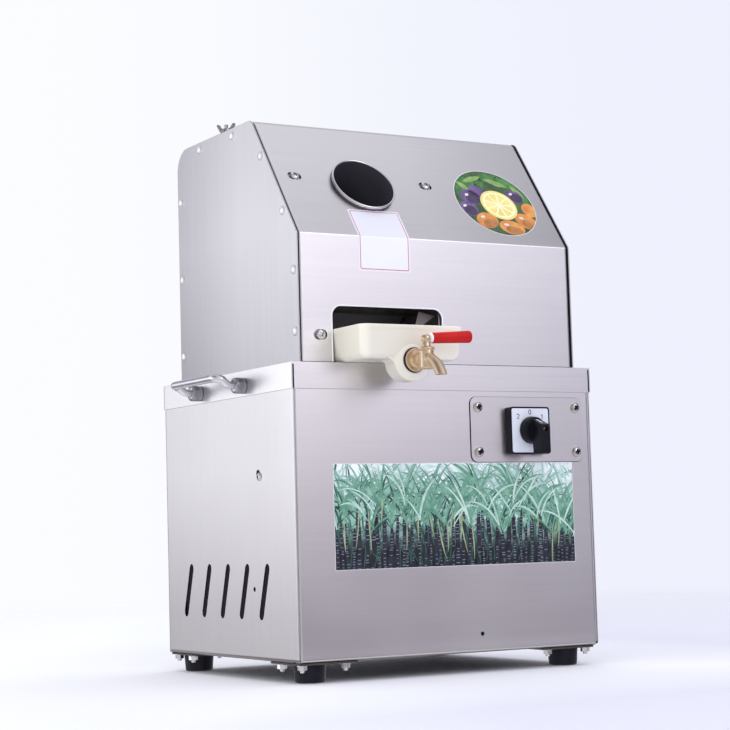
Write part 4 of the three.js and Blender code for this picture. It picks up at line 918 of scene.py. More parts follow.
# turned edge round the notch, in the painted highlight
mouth = prism("y", rrect(-157.3, 3.8, WRAP_Z0, 430.8, [0.3, 0.3, 14.3, 14.3], 14), HOOD_Y0 - 0.35, HOOD_Y0 + 0.3)
boolean(mouth, [prism("y", rrect(-155.6, 2.1, WRAP_Z0 - 9, 429.1, [0, 0, 12.6, 12.6], 14), HOOD_Y0 - 5, HOOD_Y0 + 5)])
round_edges(mouth, 0.2, 2, 40)
piece(mouth, "hood_mouth_turned_edge", "rim_steel")
# near-black strips along the front and back edges as well: painted shade in the seams
strips += [prism("z", rrect(x0, x1, y0, y0 + 0.9, 0.05, 1), HOOD_Z0 - 0.25, WRAP_Z0 + 1.0) for x0, x1, y0 in ((-197.6, -157.4, HOOD_Y0 + 1.25), (3.9, 197.6, HOOD_Y0 + 1.25), (-197.6, 197.6, HOOD_Y1 - 2.15))]
fl = join(*strips)
round_edges(fl, 0.2, 1, 32)
piece(fl, "hood_wrap_flanges", "dark_gap")


def sp(s, inset):
    return (HOOD_Y0 + TY * s + TZ * inset, KNEE_Z + TZ * s - TY * inset)


RIVETS = [(182, 668.5), (280.5, 668.5), (342.5, 607), (342.5, 501), (342.5, 396.5), sp(141.8, 9), sp(45.7, 9.5), (20.5, 472.5), (20.5, 397.5)]
for name, s in (("hood_left_side", -1), ("hood_right_side", 1)):
    a, b = sorted((s * 200.75, s * 202.5))
    side = prism("x", hood_poly(-0.7, HOOD_Z0, 14), a, b)
    round_edges(side, 0.55, 3, 32)
    for q in side.data.polygons:
        if q.normal.x * s < -0.9:
            q.material_index = 1
    piece(side, name + "_sheet", ["hood_side_steel_painted_shade", "inside_steel_painted_shade"], replaces=name)
    rv = join(*[rivet(5.9, 2.4, (s * 202.5, y, z), (s, 0, 0)) for y, z in RIVETS])
    piece(rv, name + "_rivets", "rivet_alloy")

# feed tube with its rolled mouth
tube = lathe([(40.8, -82)] + [(40.8, -80)] + arc(42.15, 5.6, 1.35, 180, -60, 14) + [(42.75, 4.1), (42.7, 3.2), (42.6, -80), (42.6, -82)], 96, on_slope(-79, 88), SLOPE_N, closed=True)
round_edges(tube, 0, 1)
c0 = on_slope(-79, 88)
for q in tube.data.polygons:
    v = q.center - c0
    hgt = v.dot(SLOPE_N)
    rad = (v - SLOPE_N * hgt).length
    # bore faces take the near-black painted shade
    if rad < 41.3 and hgt < 5.5:
        q.material_index = 1
    # faces near the foot of the outer wall take the painted shadow
    elif rad > 41.9 and hgt < 1.4:
        q.material_index = 2
piece(tube, "feed_tube_steel", ["polished_steel", "tube_bore_painted_shade", "weld_steel"], replaces="feed_tube")

# pan heads in the hood's slots, studs, washers and lock nuts on the roof
heads = [pan_head(5.9, 3.6, on_slope(x, s, -0.2), SLOPE_N, turn=0.35 + i) for i, (x, s) in enumerate(SLOPE_SCREWS)]
heads += [pan_head(5.9, 3.4, (x, HOOD_Y0 + 0.2, z), (0, -1, 0), turn=0.6 + i) for i, (x, z) in enumerate(LOW_SCREWS)]
# cross recesses in the darker zinc: painted shade
piece(join(*heads), "hood_slot_screws", ["nut_zinc", "zinc_steel"])
tops = []
for x in (-172.0, 19.4):
    tops.append(threaded(3.05, 15.2, (x, 260, 679), (0, 0, 1)))
    tops.append(round_edges(lathe([(3.1, 0), (7.7, 0), (7.7, 1.7), (3.1, 1.7)], 40, (x, 260, 677.9), closed=True), 0.2, 2))
    tops.append(hex_nut(5.8, 6.2, (x, 260, 679.7), (0, 0, 1), bore=3.1, turn=0.5))
piece(join(*tops), "hood_studs_and_nuts", "zinc_steel")

# wing nuts
for name, x, turn in (("wing_nut_left", -172.0, -0.945), ("wing_nut_right", 19.4, -0.4)):
    hub = lathe([(3.45, 0), (5.6, 0), (6.25, 0.6), (6.1, 2.4), (5.3, 8.6), (4.8, 9.5), (3.45, 9.5)], 40, (0, 0, 0), closed=True)
    for s in (-1, 1):
        wing = fillet([[s * 4.3, 1.6, 0], [s * 8.6, 5.0, 3], [s * 14.2, 14.6, 2.6], [s * 11.4, 18.2, 2.8], [s * 7.4, 11.6, 3], [s * 4.3, 9.2, 0]], 6)
        boolean(hub, [prism("y", wing, -1.5, 1.5)], "UNION")
    remesh(hub, 0.32, 3, 0.5, 0.5)
    hub.data.transform(Matrix.Translation((x, 260, ROOF_Z + 8.6)) @ Matrix.Rotation(turn, 4, "Z"))
    piece(hub, name + "_zinc", "wing_zinc", body=name, replaces=name)

# ================================================================== deck
dk = prism("z", rrect(-220, 220, 0, 382, [0.35, 0.35, 12, 12], 12), 326.5, 358.5)
b = dk.modifiers.new("top", "BEVEL")
b.width = 1.9
b.segments = 5
b.limit_method = "VGROUP"
vg = dk.vertex_groups.new(name="top")
vg.add([v.index for v in dk.data.vertices if v.co.z > 358], 1.0, "ADD")
b.vertex_group = "top"
bake(dk)
dk.vertex_groups.clear()
hollow = prism("z", rrect(-218.8, 218.8, 1.2, 380.8, [0.4, 0.4, 10.8, 10.8], 12), 320, 357)
boolean(dk, [hollow]
        + [prism("z", rrect(64, 90, 131.5, 255.5, 4, 6), 350, 365)]
        + [prism("z", rrect(min(s * 218.5, s * 216.3), max(s * 218.5, s * 216.3), -1, 1.25, 0.01, 1), 320, 355.8) for s in (-1, 1)])
tidy(dk, 0.003, False)
round_edges(dk, 0.4, 3, 35)
shade_inside(dk, (0, 190, 340))
piece(dk, "top_deck_sheet", ["deck_steel", "inside_steel_painted_shade"], replaces="top_deck")
# near-black fill in the deck's front corner gaps: painted shade
gp = join(*[prism("z", rrect(min(s * 218.7, s * 216.2), max(s * 218.7, s * 216.2), 0.85, 1.3, 0.01, 1), 327.2, 355.8) for s in (-1, 1)])
round_edges(gp, 0.05, 1)
piece(gp, "top_deck_corner_gaps", "dark_gap")

# seams beside the front panel, where the side panels' edges stand past it: strips of painted shade, the right one
# lighter
sm = join(*[prism("z", rrect(min(s * 215.4, s * 217.32), max(s * 215.4, s * 217.32), 2.0, 3.4, 0.3, 2), 4.6, 330) for s in (-1, 1)])
round_edges(sm, 0.1, 1)
for q in sm.data.polygons:
    q.material_index = 1 if q.center.x > 0 else 0
piece(sm, "cabinet_corner_seams", ["seam_steel", "seam_painted_shade_lighter"])

# ================================================================== handles
for name, s in (("handle_left", -1), ("handle_right", 1)):
    y0, y1, z, xb, zb, R = 128, 256, 339.5, 258.9, 348.9, 9
    pts = [(224, y0, z), (235, y0, z)]

    def bez(p, q, r, n=8):
        p, q, r = Vector(p), Vector(q), Vector(r)
        return [p * (1 - t) ** 2 + q * 2 * t * (1 - t) + r * t * t for t in [(k + 1) / n for k in range(n)]]

    pts += bez((235, y0, z), (241, y0, z), (246, y0, z + 3.6))
    pts += [Vector((xb - R, y0, zb - 2.2))] + bez((xb - R, y0, zb - 2.2), (xb, y0, zb), (xb, y0 + R, zb), 10)
    pts += [Vector((xb, y1 - R, zb))] + bez((xb, y1 - R, zb), (xb, y1, zb), (xb - R, y1, zb - 2.2), 10)
    pts += [Vector((246, y1, z + 3.6))] + bez((246, y1, z + 3.6), (241, y1, z), (235, y1, z)) + [Vector((224, y1, z))]
    bar = sweep([(s * p[0], p[1], p[2]) for p in pts], [4.3 + 0.95 * min(1.0, max(0.0, (p[0] - 237) / 11)) for p in pts], 32)
    round_edges(bar, 0, 1)
    parts = [bar]
    for y in (y0, y1):
        boss = lathe([(0, 0), (9.6, 0), (10.05, 0.5), (10.05, 3.2), (9.75, 3.5), (9.75, 3.9), (10.05, 4.2), (10.05, 10.4), (9.75, 10.75), (9.75, 11.1), (9.95, 11.4),
                      (9.6, 13.2), (8.9, 14.1), (7.2, 14.4), (4.3, 14.3), (4.3, 10), (0, 10)], 56, (s * 220.2, y, z), (s, 0, 0))
        round_edges(boss, 0, 1)
        # bosses take the darker chrome copy
        for q in boss.data.polygons:
            q.material_index = 1
        parts.append(boss)
    piece(join(*parts), name + "_chrome", ["chrome_satin", "chrome_painted_dark_reflection"], replaces=name)

# ================================================================== switch
CX, CZ, PX, PZ = 115.0, 276.0, 118.7, 277.8
plate = prism("y", rrect(PX - 86, PX + 86, PZ - 41, PZ + 41, 9, 12), 0, 1.1, [ring(CX, CZ, 24, 48)])
round_edges(plate, 0.22, 2)
piece(plate, "switch_plate_sheet", "sheet_steel", replaces="switch_mounting_plate")
# near-black sheet just under the plate's edge: painted shadow
seat = prism("y", rrect(PX - 86.75, PX + 86.5, PZ - 41.6, PZ + 41.4, 9.5, 12), 0.75, 1.45, [ring(CX, CZ, 24, 48)])
round_edges(seat, 0.08, 1)
piece(seat, "switch_plate_seat", "dark_gap")
hs = [pan_head(6.6, 4.2, (PX + dx, 0.1, PZ + dz), (0, -1, 0), turn=0.2 + 0.55 * i) for i, (dx, dz) in enumerate(((-75.2, 28.4), (75.2, 28.4), (-75.2, -28.4), (75.2, -28.4)))]
piece(join(*hs), "switch_plate_screws", ["screw_steel", "dark_gap"])
bez_o = prism("y", rrect(CX - 30, CX + 30, CZ - 30, CZ + 30, 4, 8), -12, -0.3)
boolean(bez_o, [prism("y", rrect(CX - 28.3, CX + 28.3, CZ - 28.3, CZ + 28.3, 3, 8), -14, -10.6), prism("y", ring(CX, CZ, 8, 40), -20, 5)])
tidy(bez_o, 0.003)
round_edges(bez_o, 0.45, 3)
piece(bez_o, "switch_bezel_frame", "black_plastic", replaces="switch_bezel")
dial = prism("y", rrect(CX - 28, CX + 28, CZ - 28, CZ + 28, 2.8, 8), -11.9, -10.9, [ring(CX, CZ, 8, 40)])
round_edges(dial, 0.25, 2)
piece(dial, "switch_dial_face", "dial_plastic", replaces="switch_dial_plate")


def strokes(lines, width, y, name, depth=0.06):
    """Flat strokes printed on a face that looks toward -Y: lines of (x, z) points."""
    bm = bmesh.new()
    for ln in lines:
        pts = [Vector(p) for p in ln]
        closed = (pts[0] - pts[-1]).length < 1e-6
        if closed:
            pts = pts[:-1]
        m = len(pts)
        L, Rr = [], []
        for i, p in enumerate(pts):
            if closed:
                d = (pts[(i + 1) % m] - pts[i - 1]).normalized()
            else:
                d = (pts[min(i + 1, m - 1)] - pts[max(i - 1, 0)]).normalized()
            nrm = Vector((-d.y, d.x)) * width / 2
            L.append(p + nrm)
            Rr.append(p - nrm)
        front = [[bm.verts.new((q.x, y - depth, q.y)) for q in row] for row in (L, Rr)]
        back = [[bm.verts.new((q.x, y + 0.05, q.y)) for q in row] for row in (L, Rr)]
        rng = range(m) if closed else range(m - 1)
        for i in rng:
            j = (i + 1) % m
            bm.faces.new((front[0][i], front[0][j], front[1][j], front[1][i]))
            bm.faces.new((back[0][i], back[1][i], back[1][j], back[0][j]))
            bm.faces.new((front[0][i], back[0][i], back[0][j], front[0][j]))
            bm.faces.new((front[1][i], front[1][j], back[1][j], back[1][i]))
        if not closed:
            for i in (0, m - 1):
                bm.faces.new((front[0][i], front[1][i], back[1][i], back[0][i]))
    return to_obj(bm, name)


def oval(cx, cz, rx, rz, n=28, a0=0.0, a1=2 * math.pi):
    return [(cx + rx * math.cos(a0 + (a1 - a0) * k / n), cz + rz * math.sin(a0 + (a1 - a0) * k / n)) for k in range(n + 1)]


zero = oval(CX - 0.3, CZ + 23.4, 1.75, 2.75)
zero[-1] = zero[0]
one = [(CX + 17.2, CZ + 18.6), (CX + 18.7, CZ + 20.6), (CX + 18.7, CZ + 14.9)]
two = oval(CX - 18.6, CZ + 18.8, 1.8, 1.8, 10, math.radians(165), math.radians(-30)) + [(CX - 20.4, CZ + 14.9), (CX - 16.6, CZ + 14.9)]
digits = strokes([zero, one, two], 1.0, -11.9, "digits")
piece(digits, "switch_dial_digits", "dark_ink")

# knob: round base, raised grip with an undercut short end
side = fillet([[-15, 17, 1.5], [-44, 6, 3], [-46, 3.5, 1.4], [-46, -29, 2.2], [-44, -31, 1.8], [-25.5, -31, 1.6], [-24.5, -16, 1.5], [-15, -16, 0]], 6)
grip = prism("x", [(y, CZ + z) for y, z in side], CX - 6.5, CX + 6.5)
round_edges(grip, 0.7, 3, 40, False)
kb = lathe([(0, 0), (16.9, 0)] + [(17.2, 0.3), (17.6, 2.2), (16.5, 10.4)] + arc(14.3, 10.4, 2.1, 0, 90, 6)[1:] + [(0, 12.5)], 72, (CX, -12.3, CZ), (0, -1, 0))
boolean(kb, [grip, lathe([(0, 0), (4.2, 0), (4.2, 23), (0, 23)], 32, (CX, -13, CZ), (0, 1, 0))], "UNION")
boolean(kb, [lathe([(0, 0), (3.4, 0), (3.4, 10), (0, 10)], 32, (CX, -50, CZ), (0, 1, 0))])
remesh(kb, 0.34, 2, 0.5, 0.45)
piece(kb, "switch_knob_black", "black_plastic", body="switch_knob", replaces="switch_knob")
# white line on the slanted end of the grip, and the screw deep in its hole
d = Vector((0, -29, -11)).normalized()
nrm = Vector((0, -11, 29)).normalized()
mid = Vector((CX, -15, CZ + 17)) + Vector((0, -29, -11)) * 0.52 + nrm * 0.02
bm = bmesh.new()
q = []
for a, b_ in ((-8.2, -0.95), (8.2, -0.95), (8.2, 0.95), (-8.2, 0.95)):
    q.append(mid + d * a + Vector((1, 0, 0)) * b_)
lo = [bm.verts.new(p - nrm * 0.5) for p in q]
hi = [bm.verts.new(p + nrm * 0.1) for p in q]
bm.faces.new(lo)
bm.faces.new(hi)
for i in range(4):
    bm.faces.new((lo[i], lo[(i + 1) % 4], hi[(i + 1) % 4], hi[i]))
ln = to_obj(bm)
round_edges(ln, 0.08, 1)
piece(ln, "switch_knob_line", "white_plastic", body="switch_knob")
# the knob screw's recess is near-black: painted shade
ks = pan_head(3.0, 2.2, (CX, -41.2, CZ), (0, -1, 0), turn=0.8)
piece(ks, "switch_knob_screw", ["screw_steel", "dark_gap"], body="switch_knob")

# ================================================================== juice tray
TX0, TX1, TY0, TY1, TZ0, TZ1 = -154.1, -9.5, -58.0, 214.0, 359.0, 400.0


def tray_loop(inset, z, r, n=10, taper=True):
    t = 3.5 * (TZ1 - z) / (TZ1 - TZ0) if taper else 0.0
    i = inset + t
    return [(p[0], p[1], z) for p in rrect(TX0 + i, TX1 - i, TY0 + i, TY1 - i, max(0.8, r - inset), n)]


rows = []
rows.append(tray_loop(7.0, 359.0, 10))
for k in range(1, 6):
    a = math.radians(90 * k / 5)
    rows.append(tray_loop(7.0 - 7.0 * math.sin(a), 359.0 + 7.0 * (1 - math.cos(a)), 10))
rows.append(tray_loop(0.0, 380.0, 10))
rows.append(tray_loop(0.0, 393.3, 10))
rows.append(tray_loop(-0.30, 394.6, 10))
rows.append(tray_loop(-0.5, 395.6, 10))
rows.append(tray_loop(-0.5, 398.8, 10))
rows.append(tray_loop(-0.35, 399.5, 10))
rows.append(tray_loop(-0.2, 400.0, 10))
rows.append(tray_loop(2.2, 400.0, 10))
rows.append(tray_loop(2.8, 399.6, 10))
rows.append(tray_loop(3.1, 398.8, 10))
rows.append(tray_loop(3.1, 368.0, 10))
rows.append(tray_loop(3.9, 364.4, 10))
rows.append(tray_loop(6.6, 362.2, 10))
rows.append(tray_loop(9.0, 362.0, 10))
bm = bmesh.new()
vr = [[bm.verts.new(p) for p in r] for r in rows]
for p, q in zip(vr, vr[1:]):
    for i in range(len(p)):
        j = (i + 1) % len(p)
        bm.faces.new((p[i], p[j], q[j], q[i]))
bm.faces.new(vr[0])
bm.faces.new(vr[-1])
tray = to_obj(bm)
TAPX, TAPZ, PLY = -83.0, 357.2, -85.5


def boss(r, a, b_, up=14):
    return prism("y", stadium((TAPX, TAPZ), (TAPX, TAPZ + up), 2 * r, 40), a, b_)


bs = boss(25, -54.7, -28.5)
round_edges(bs, 2.4, 4, 40, False)
boolean(bs, [prism("z", [(TAPX - 40, -53.6), (TAPX + 40, -53.6), (TAPX + 40, -10), (TAPX - 40, -10)], 361.5, 420)])
boolean(tray, [bs, lathe([(0, 0), (23.2, 0), (21.6, 0.55), (19.2, 1.7), (17.2, 2.6), (15.6, 2.87), (0, 2.87)], 96, (TAPX, -54.6, TAPZ), (0, -1, 0))], "UNION")
wedge = []
for s in (-1, 1):
    pts = [(TAPX + s * 19, 361.5), (TAPX + s * 32.5, 361.5), (TAPX + s * 32.5, 359.05)]
    c = (TAPX + s * 33.0, 351.6)
    for k in range(0, 9):
        a = math.radians(90 + s * (0 + 62 * k / 8))
        pts.append((c[0] + 7.45 * math.cos(a), c[1] + 7.45 * math.sin(a)))
    pts.append((TAPX + s * 19, 350.4))
    wedge.append(prism("y", pts, -53.0, -31.5))
boolean(tray, wedge, "UNION")
boolean(tray, [boss(21.5, -52.6, -32), lathe([(0, 0), (10.9, 0), (10.9, 25), (0, 25)], 40, (TAPX, -70, TAPZ), (0, 1, 0))])
tidy(tray, 0.01)
round_edges(tray, 0.9, 3, 28)
piece(tray, "juice_tray_cream", "cream_plastic", body="juice_tray", replaces="juice_tray")

# ================================================================== tap
ws = lathe([(10.9, -2.3), (15.0, -2.3), (15.3, -1.9), (15.3, -0.4), (15.0, 0), (10.9, 0)], 64, (TAPX, -57.5, TAPZ), (0, 1, 0), closed=True)
round_edges(ws, 0, 1)
piece(ws, "tap_washer_rubber", "washer_rubber", body="juice_tray", replaces="tap_washer")
tb = lathe([(0, 0), (13.7, 0), (14.2, 0.5), (14.2, 1.9), (13.6, 2.5), (9.4, 2.7), (8.4, 3.4), (7.5, 5.4), (7.1, 8), (7.3, 14), (7.4, 26), (0, 26)], 64, (TAPX, -60.1, TAPZ), (0, -1, 0))
parts = [
    lathe([(0, 344)] + [(7.2, 344.0), (8.4, 344.5), (9.0, 345.6), (9.1, 348.0), (9.1, 360.0), (9.1, 365.6), (8.7, 366.2), (8.7, 366.9), (9.9, 367.2), (10.3, 367.7), (10.3, 369.3), (9.9, 369.8), (0, 369.8)], 64, (TAPX, PLY, 0)),
    lathe([(0, 0), (10, 0), (10, 14.5), (0, 14.5)], 48, (TAPX, -61.2, TAPZ), (0, 1, 0)),
]
SPOUT = [(TAPX, PLY + 3, TAPZ - 2.6), (TAPX, PLY - 4, TAPZ - 2.4), (TAPX, PLY - 11, TAPZ - 2.9), (TAPX, PLY - 18.5, TAPZ - 6.0), (TAPX, PLY - 25, TAPZ - 11.6), (TAPX, PLY - 30.2, TAPZ - 18.4), (TAPX, PLY - 34.4, TAPZ - 26.5)]
spine = smooth_path(SPOUT, 8)
rads = []
for i in range(len(spine)):
    t = i / (len(spine) - 1)
    rads.append(7.4 - 0.8 * min(1, t / 0.45) if t < 0.5 else 6.6 + 0.6 * (t - 0.5) / 0.5)
spout = sweep(spine, rads, 40)
boolean(spout, [prism("z", [(TAPX - 20, PLY - 60), (TAPX + 20, PLY - 60), (TAPX + 20, PLY), (TAPX - 20, PLY)], TAPZ - 40, TAPZ - 22.2)])
parts.append(spout)
parts.append(lathe([(0, 0), (8.1, 0), (8.1, 2.2), (7.8, 3.2), (7.0, 3.9), (0, 3.9)], 48, (TAPX, PLY - 7.2, TAPZ - 2.5), (0, -1, -0.03)))
boolean(tb, parts, "UNION")
bore = smooth_path(SPOUT[1:] + [(TAPX, PLY - 35.5, TAPZ - 30)], 8)
boolean(tb, [sweep(bore, 4.9, 32), lathe([(0, 330), (6.3, 330), (6.3, 380), (0, 380)], 40, (TAPX, PLY, 0)), lathe([(0, 0), (5.4, 0), (5.4, 44), (0, 44)], 32, (TAPX, -84, TAPZ), (0, 1, 0))])
remesh(tb, 0.31, 5, 0.5, 0.62)
piece(tb, "tap_body_brass", "brass", body="juice_tray", replaces="tap_body")
nut = hex_nut(14.5, 5.4, (TAPX, -52.2, TAPZ), (0, 1, 0), bore=10.1)
piece(nut, "tap_back_nut", "brass", body="juice_tray")

tilt = 0.054
ldir = Vector((math.cos(tilt), 0, math.sin(tilt)))
root = Vector((TAPX, PLY, 380.9))
pg = lathe([(0, 345.5), (5.2, 345.5), (5.7, 346.0), (5.7, 370.2), (6.3, 370.5), (6.3, 371.4), (5.6, 372.0), (5.45, 373.2), (5.35, 374.4), (4.8, 375.1), (4.65, 375.7), (4.85, 376.3)]
           + [(6.0 * math.cos(math.radians(a)), 380.6 + 5.75 * math.sin(math.radians(a))) for a in range(-40, 90, 10)] + [(0, 386.35)], 56, (TAPX, PLY, 0))
boolean(pg, [lathe([(0, 3), (2.35, 3), (2.35, 60.0), (0, 60.0)], 32, root, ldir)], "UNION")
boolean(pg, [lathe([(0, 0), (3.8, 0), (3.8, 24), (0, 24)], 32, (TAPX - 12, PLY, TAPZ), (1, 0, 0))])
tidy(pg, 0.003, False)
round_edges(pg, 0.25, 2, 40)
piece(pg, "tap_plug_brass", "brass", body="tap_lever", replaces="tap_plug")
gr = lathe([(2.7, 7.7), (5.9, 7.7), (6.35, 8.1), (6.5, 9.3), (7.45, 58.8), (7.55, 60.4), (7.2, 61.7), (6.3, 62.2), (0.0001, 62.2), (0.0001, 60.1), (2.7, 60.1)], 56, root, ldir, closed=True)
tidy(gr, 0.003, False)
round_edges(gr, 0, 1)
piece(gr, "tap_grip_red", "red_plastic", body="tap_lever", replaces="tap_grip")
cl = lathe([(2.7, 4.6), (4.6, 4.6), (5.5, 5.0), (6.3, 6.6), (6.4, 7.3), (6.3, 7.55), (2.7, 7.55)], 56, root, ldir, closed=True)
round_edges(cl, 0, 1)
piece(cl, "tap_collar_white", "white_plastic", body="tap_lever", replaces="tap_collar")

# ================================================================== side panel screws (over the CAD's plain heads)
for s, nm in ((-1, "left"), (1, "right")):
    ph = pan_head(4.95, 3.0, (s * 218.55, 93.3, 224.6), (s, 0, 0), turn=0.5)
    piece(ph, "side_screw_" + nm, ["nut_zinc", "zinc_steel"])
    # near-black patch on the panel beside the screw: painted shade standing for a slotted hole
    slot_ = prism("x", stadium((95.2, 226.4), (97.0, 228.6), 9.6, 14), *sorted((s * 218.42, s * 218.62)))
    round_edges(slot_, 0.04, 1)
    piece(slot_, "side_screw_slot_" + nm, "dark_gap")

# near-black sheets behind the side slots: painted shade of the cabinet's inside
for s, nm in ((-1, "left"), (1, "right")):
    baffle = prism("x", rrect(66, 316, 44, 122, 3, 4), *sorted((s * 215.9, s * 217.15)))
    round_edges(baffle, 0.3, 2)
    piece(baffle, "vent_shade_baffle_" + nm, "felt_dark")

# ================================================================== labels: plain and generic
LX0, LX1 = -116.2, -41.8


def label_sheet(x0, x1, s_top, z_bot, r, out, thick, grow=0.0, hole=None):
    """Film folded over the knee: outline in (x, u), u = distance from the knee, + up the slope, - down the front."""
    R = 4.0

    def place(p, h):
        x, u = p
        # along the sheet: front face, bend of radius R, slope
        half = R * math.atan2(TY, TZ) / 2 * 1.0
        ang = math.atan2(TY, TZ)
        L = R * ang
        tn = R * math.tan(ang / 2)
        if u < -tn:
            return Vector((x, HOOD_Y0 - h, KNEE_Z + u))
        if u > tn:
            return on_slope(x, u, h)
        t = (u + tn) / (2 * tn) * ang
        c = Vector((x, HOOD_Y0 + R, KNEE_Z - tn))
        return c + Vector((0, -math.cos(t), math.sin(t))) * (R + h)

    def outline(g):
        return rrect(x0 - g, x1 + g, z_bot - KNEE_Z - g, s_top + g, max(0.4, r + g), 6)

    bm = bmesh.new()
    cols = 24
    # grid in u with rounded corners: rows follow the outline's width at that u
    us = []
    lo, hi_ = z_bot - KNEE_Z - grow, s_top + grow
    rr = max(0.4, r + grow)
    k = 0
    for k in range(7):
        us.append(lo + rr * (1 - math.cos(math.radians(90 * k / 6))))
    us += [lo + rr + (-4 - lo - rr) * t for t in (0.25, 0.5, 0.75)]
    us += [-4 + 8 * t / 10 for t in range(11)]
    us += [4 + (hi_ - rr - 4) * t for t in (0.25, 0.5, 0.75)]
    for k in range(7):
        us.append(hi_ - rr * (1 - math.cos(math.radians(90 * (6 - k) / 6))))
    grid = []
    for u in us:
        e = min(u - lo, hi_ - u)
        ins = 0.0 if e >= rr else rr - math.sqrt(max(0.0, rr * rr - (rr - e) ** 2))
        a, b_ = x0 - grow + ins, x1 + grow - ins
        grid.append([(a, u), (b_, u)])
    top = [[bm.verts.new(place(p, out + thick)) for p in row] for row in grid]
    bot = [[bm.verts.new(place(p, out)) for p in row] for row in grid]
    for i in range(len(grid) - 1):
        bm.faces.new((top[i][0], top[i][1], top[i + 1][1], top[i + 1][0]))
        bm.faces.new((bot[i][0], bot[i + 1][0], bot[i + 1][1], bot[i][1]))
        bm.faces.new((top[i][0], top[i + 1][0], bot[i + 1][0], bot[i][0]))
        bm.faces.new((top[i][1], bot[i][1], bot[i + 1][1], top[i + 1][1]))
    bm.faces.new((top[0][0], bot[0][0], bot[0][1], top[0][1]))
    bm.faces.new((top[-1][0], top[-1][1], bot[-1][1], bot[-1][0]))
    return to_obj(bm)


base = label_sheet(LX0, LX1, 46.0, 473.6, 3.2, 0.04, 0.10)
round_edges(base, 0, 1)
# faces on the slope take the painted shade
for q in base.data.polygons:
    q.material_index = 1 if q.normal.dot(SLOPE_N) > 0.93 else 0
piece(base, "label_film", ["sticker_white", "sticker_painted_shade"])
ring_ = label_sheet(LX0 + 2.2, LX1 - 2.2, 43.8, 475.8, 2.6, 0.15, 0.03)
round_edges(ring_, 0, 1)
piece(ring_, "label_border", "sticker_pink")
core = label_sheet(LX0 + 3.3, LX1 - 3.3, 42.7, 476.9, 1.8, 0.19, 0.03)
round_edges(core, 0, 1)
# faces on the slope take the painted shade
for q in core.data.polygons:
    q.material_index = 1 if q.normal.dot(SLOPE_N) > 0.93 else 0
piece(core, "label_field", ["sticker_white", "sticker_painted_shade"])

# ================================================================== front film: a plain pattern of leaves over dark stems
def mapped(nt, vec, turn, size, shift=(0.0, 0.0, 0.0)):
    """Coordinates turned in the film's plane (about Y) and divided by size."""
    mp = nt.nodes.new("ShaderNodeMapping")
    mp.vector_type = "TEXTURE"
    mp.inputs["Rotation"].default_value = (0.0, math.radians(turn), 0.0)
    mp.inputs["Scale"].default_value = size
    mp.inputs["Location"].default_value = shift
    nt.links.new(vec, mp.inputs["Vector"])
    return mp.outputs["Vector"]


def math_node(nt, op, a, b=None, c=None, clamp=False):
    n = nt.nodes.new("ShaderNodeMath")
    n.operation = op
    n.use_clamp = clamp
    for i, v in enumerate((a, b, c)):
        if v is None:
            continue
        if isinstance(v, (int, float)):
            n.inputs[i].default_value = v
        else:
            nt.links.new(v, n.inputs[i])
    return n.outputs[0]


def mix_colour(nt, fac, a, b):
    n = nt.nodes.new("ShaderNodeMix")
    n.data_type = "RGBA"
    nt.links.new(fac, n.inputs["Factor"])
    for k, v in (("A", a), ("B", b)):
        nt.links.new(v, n.inputs[k])
    return n.outputs["Result"]


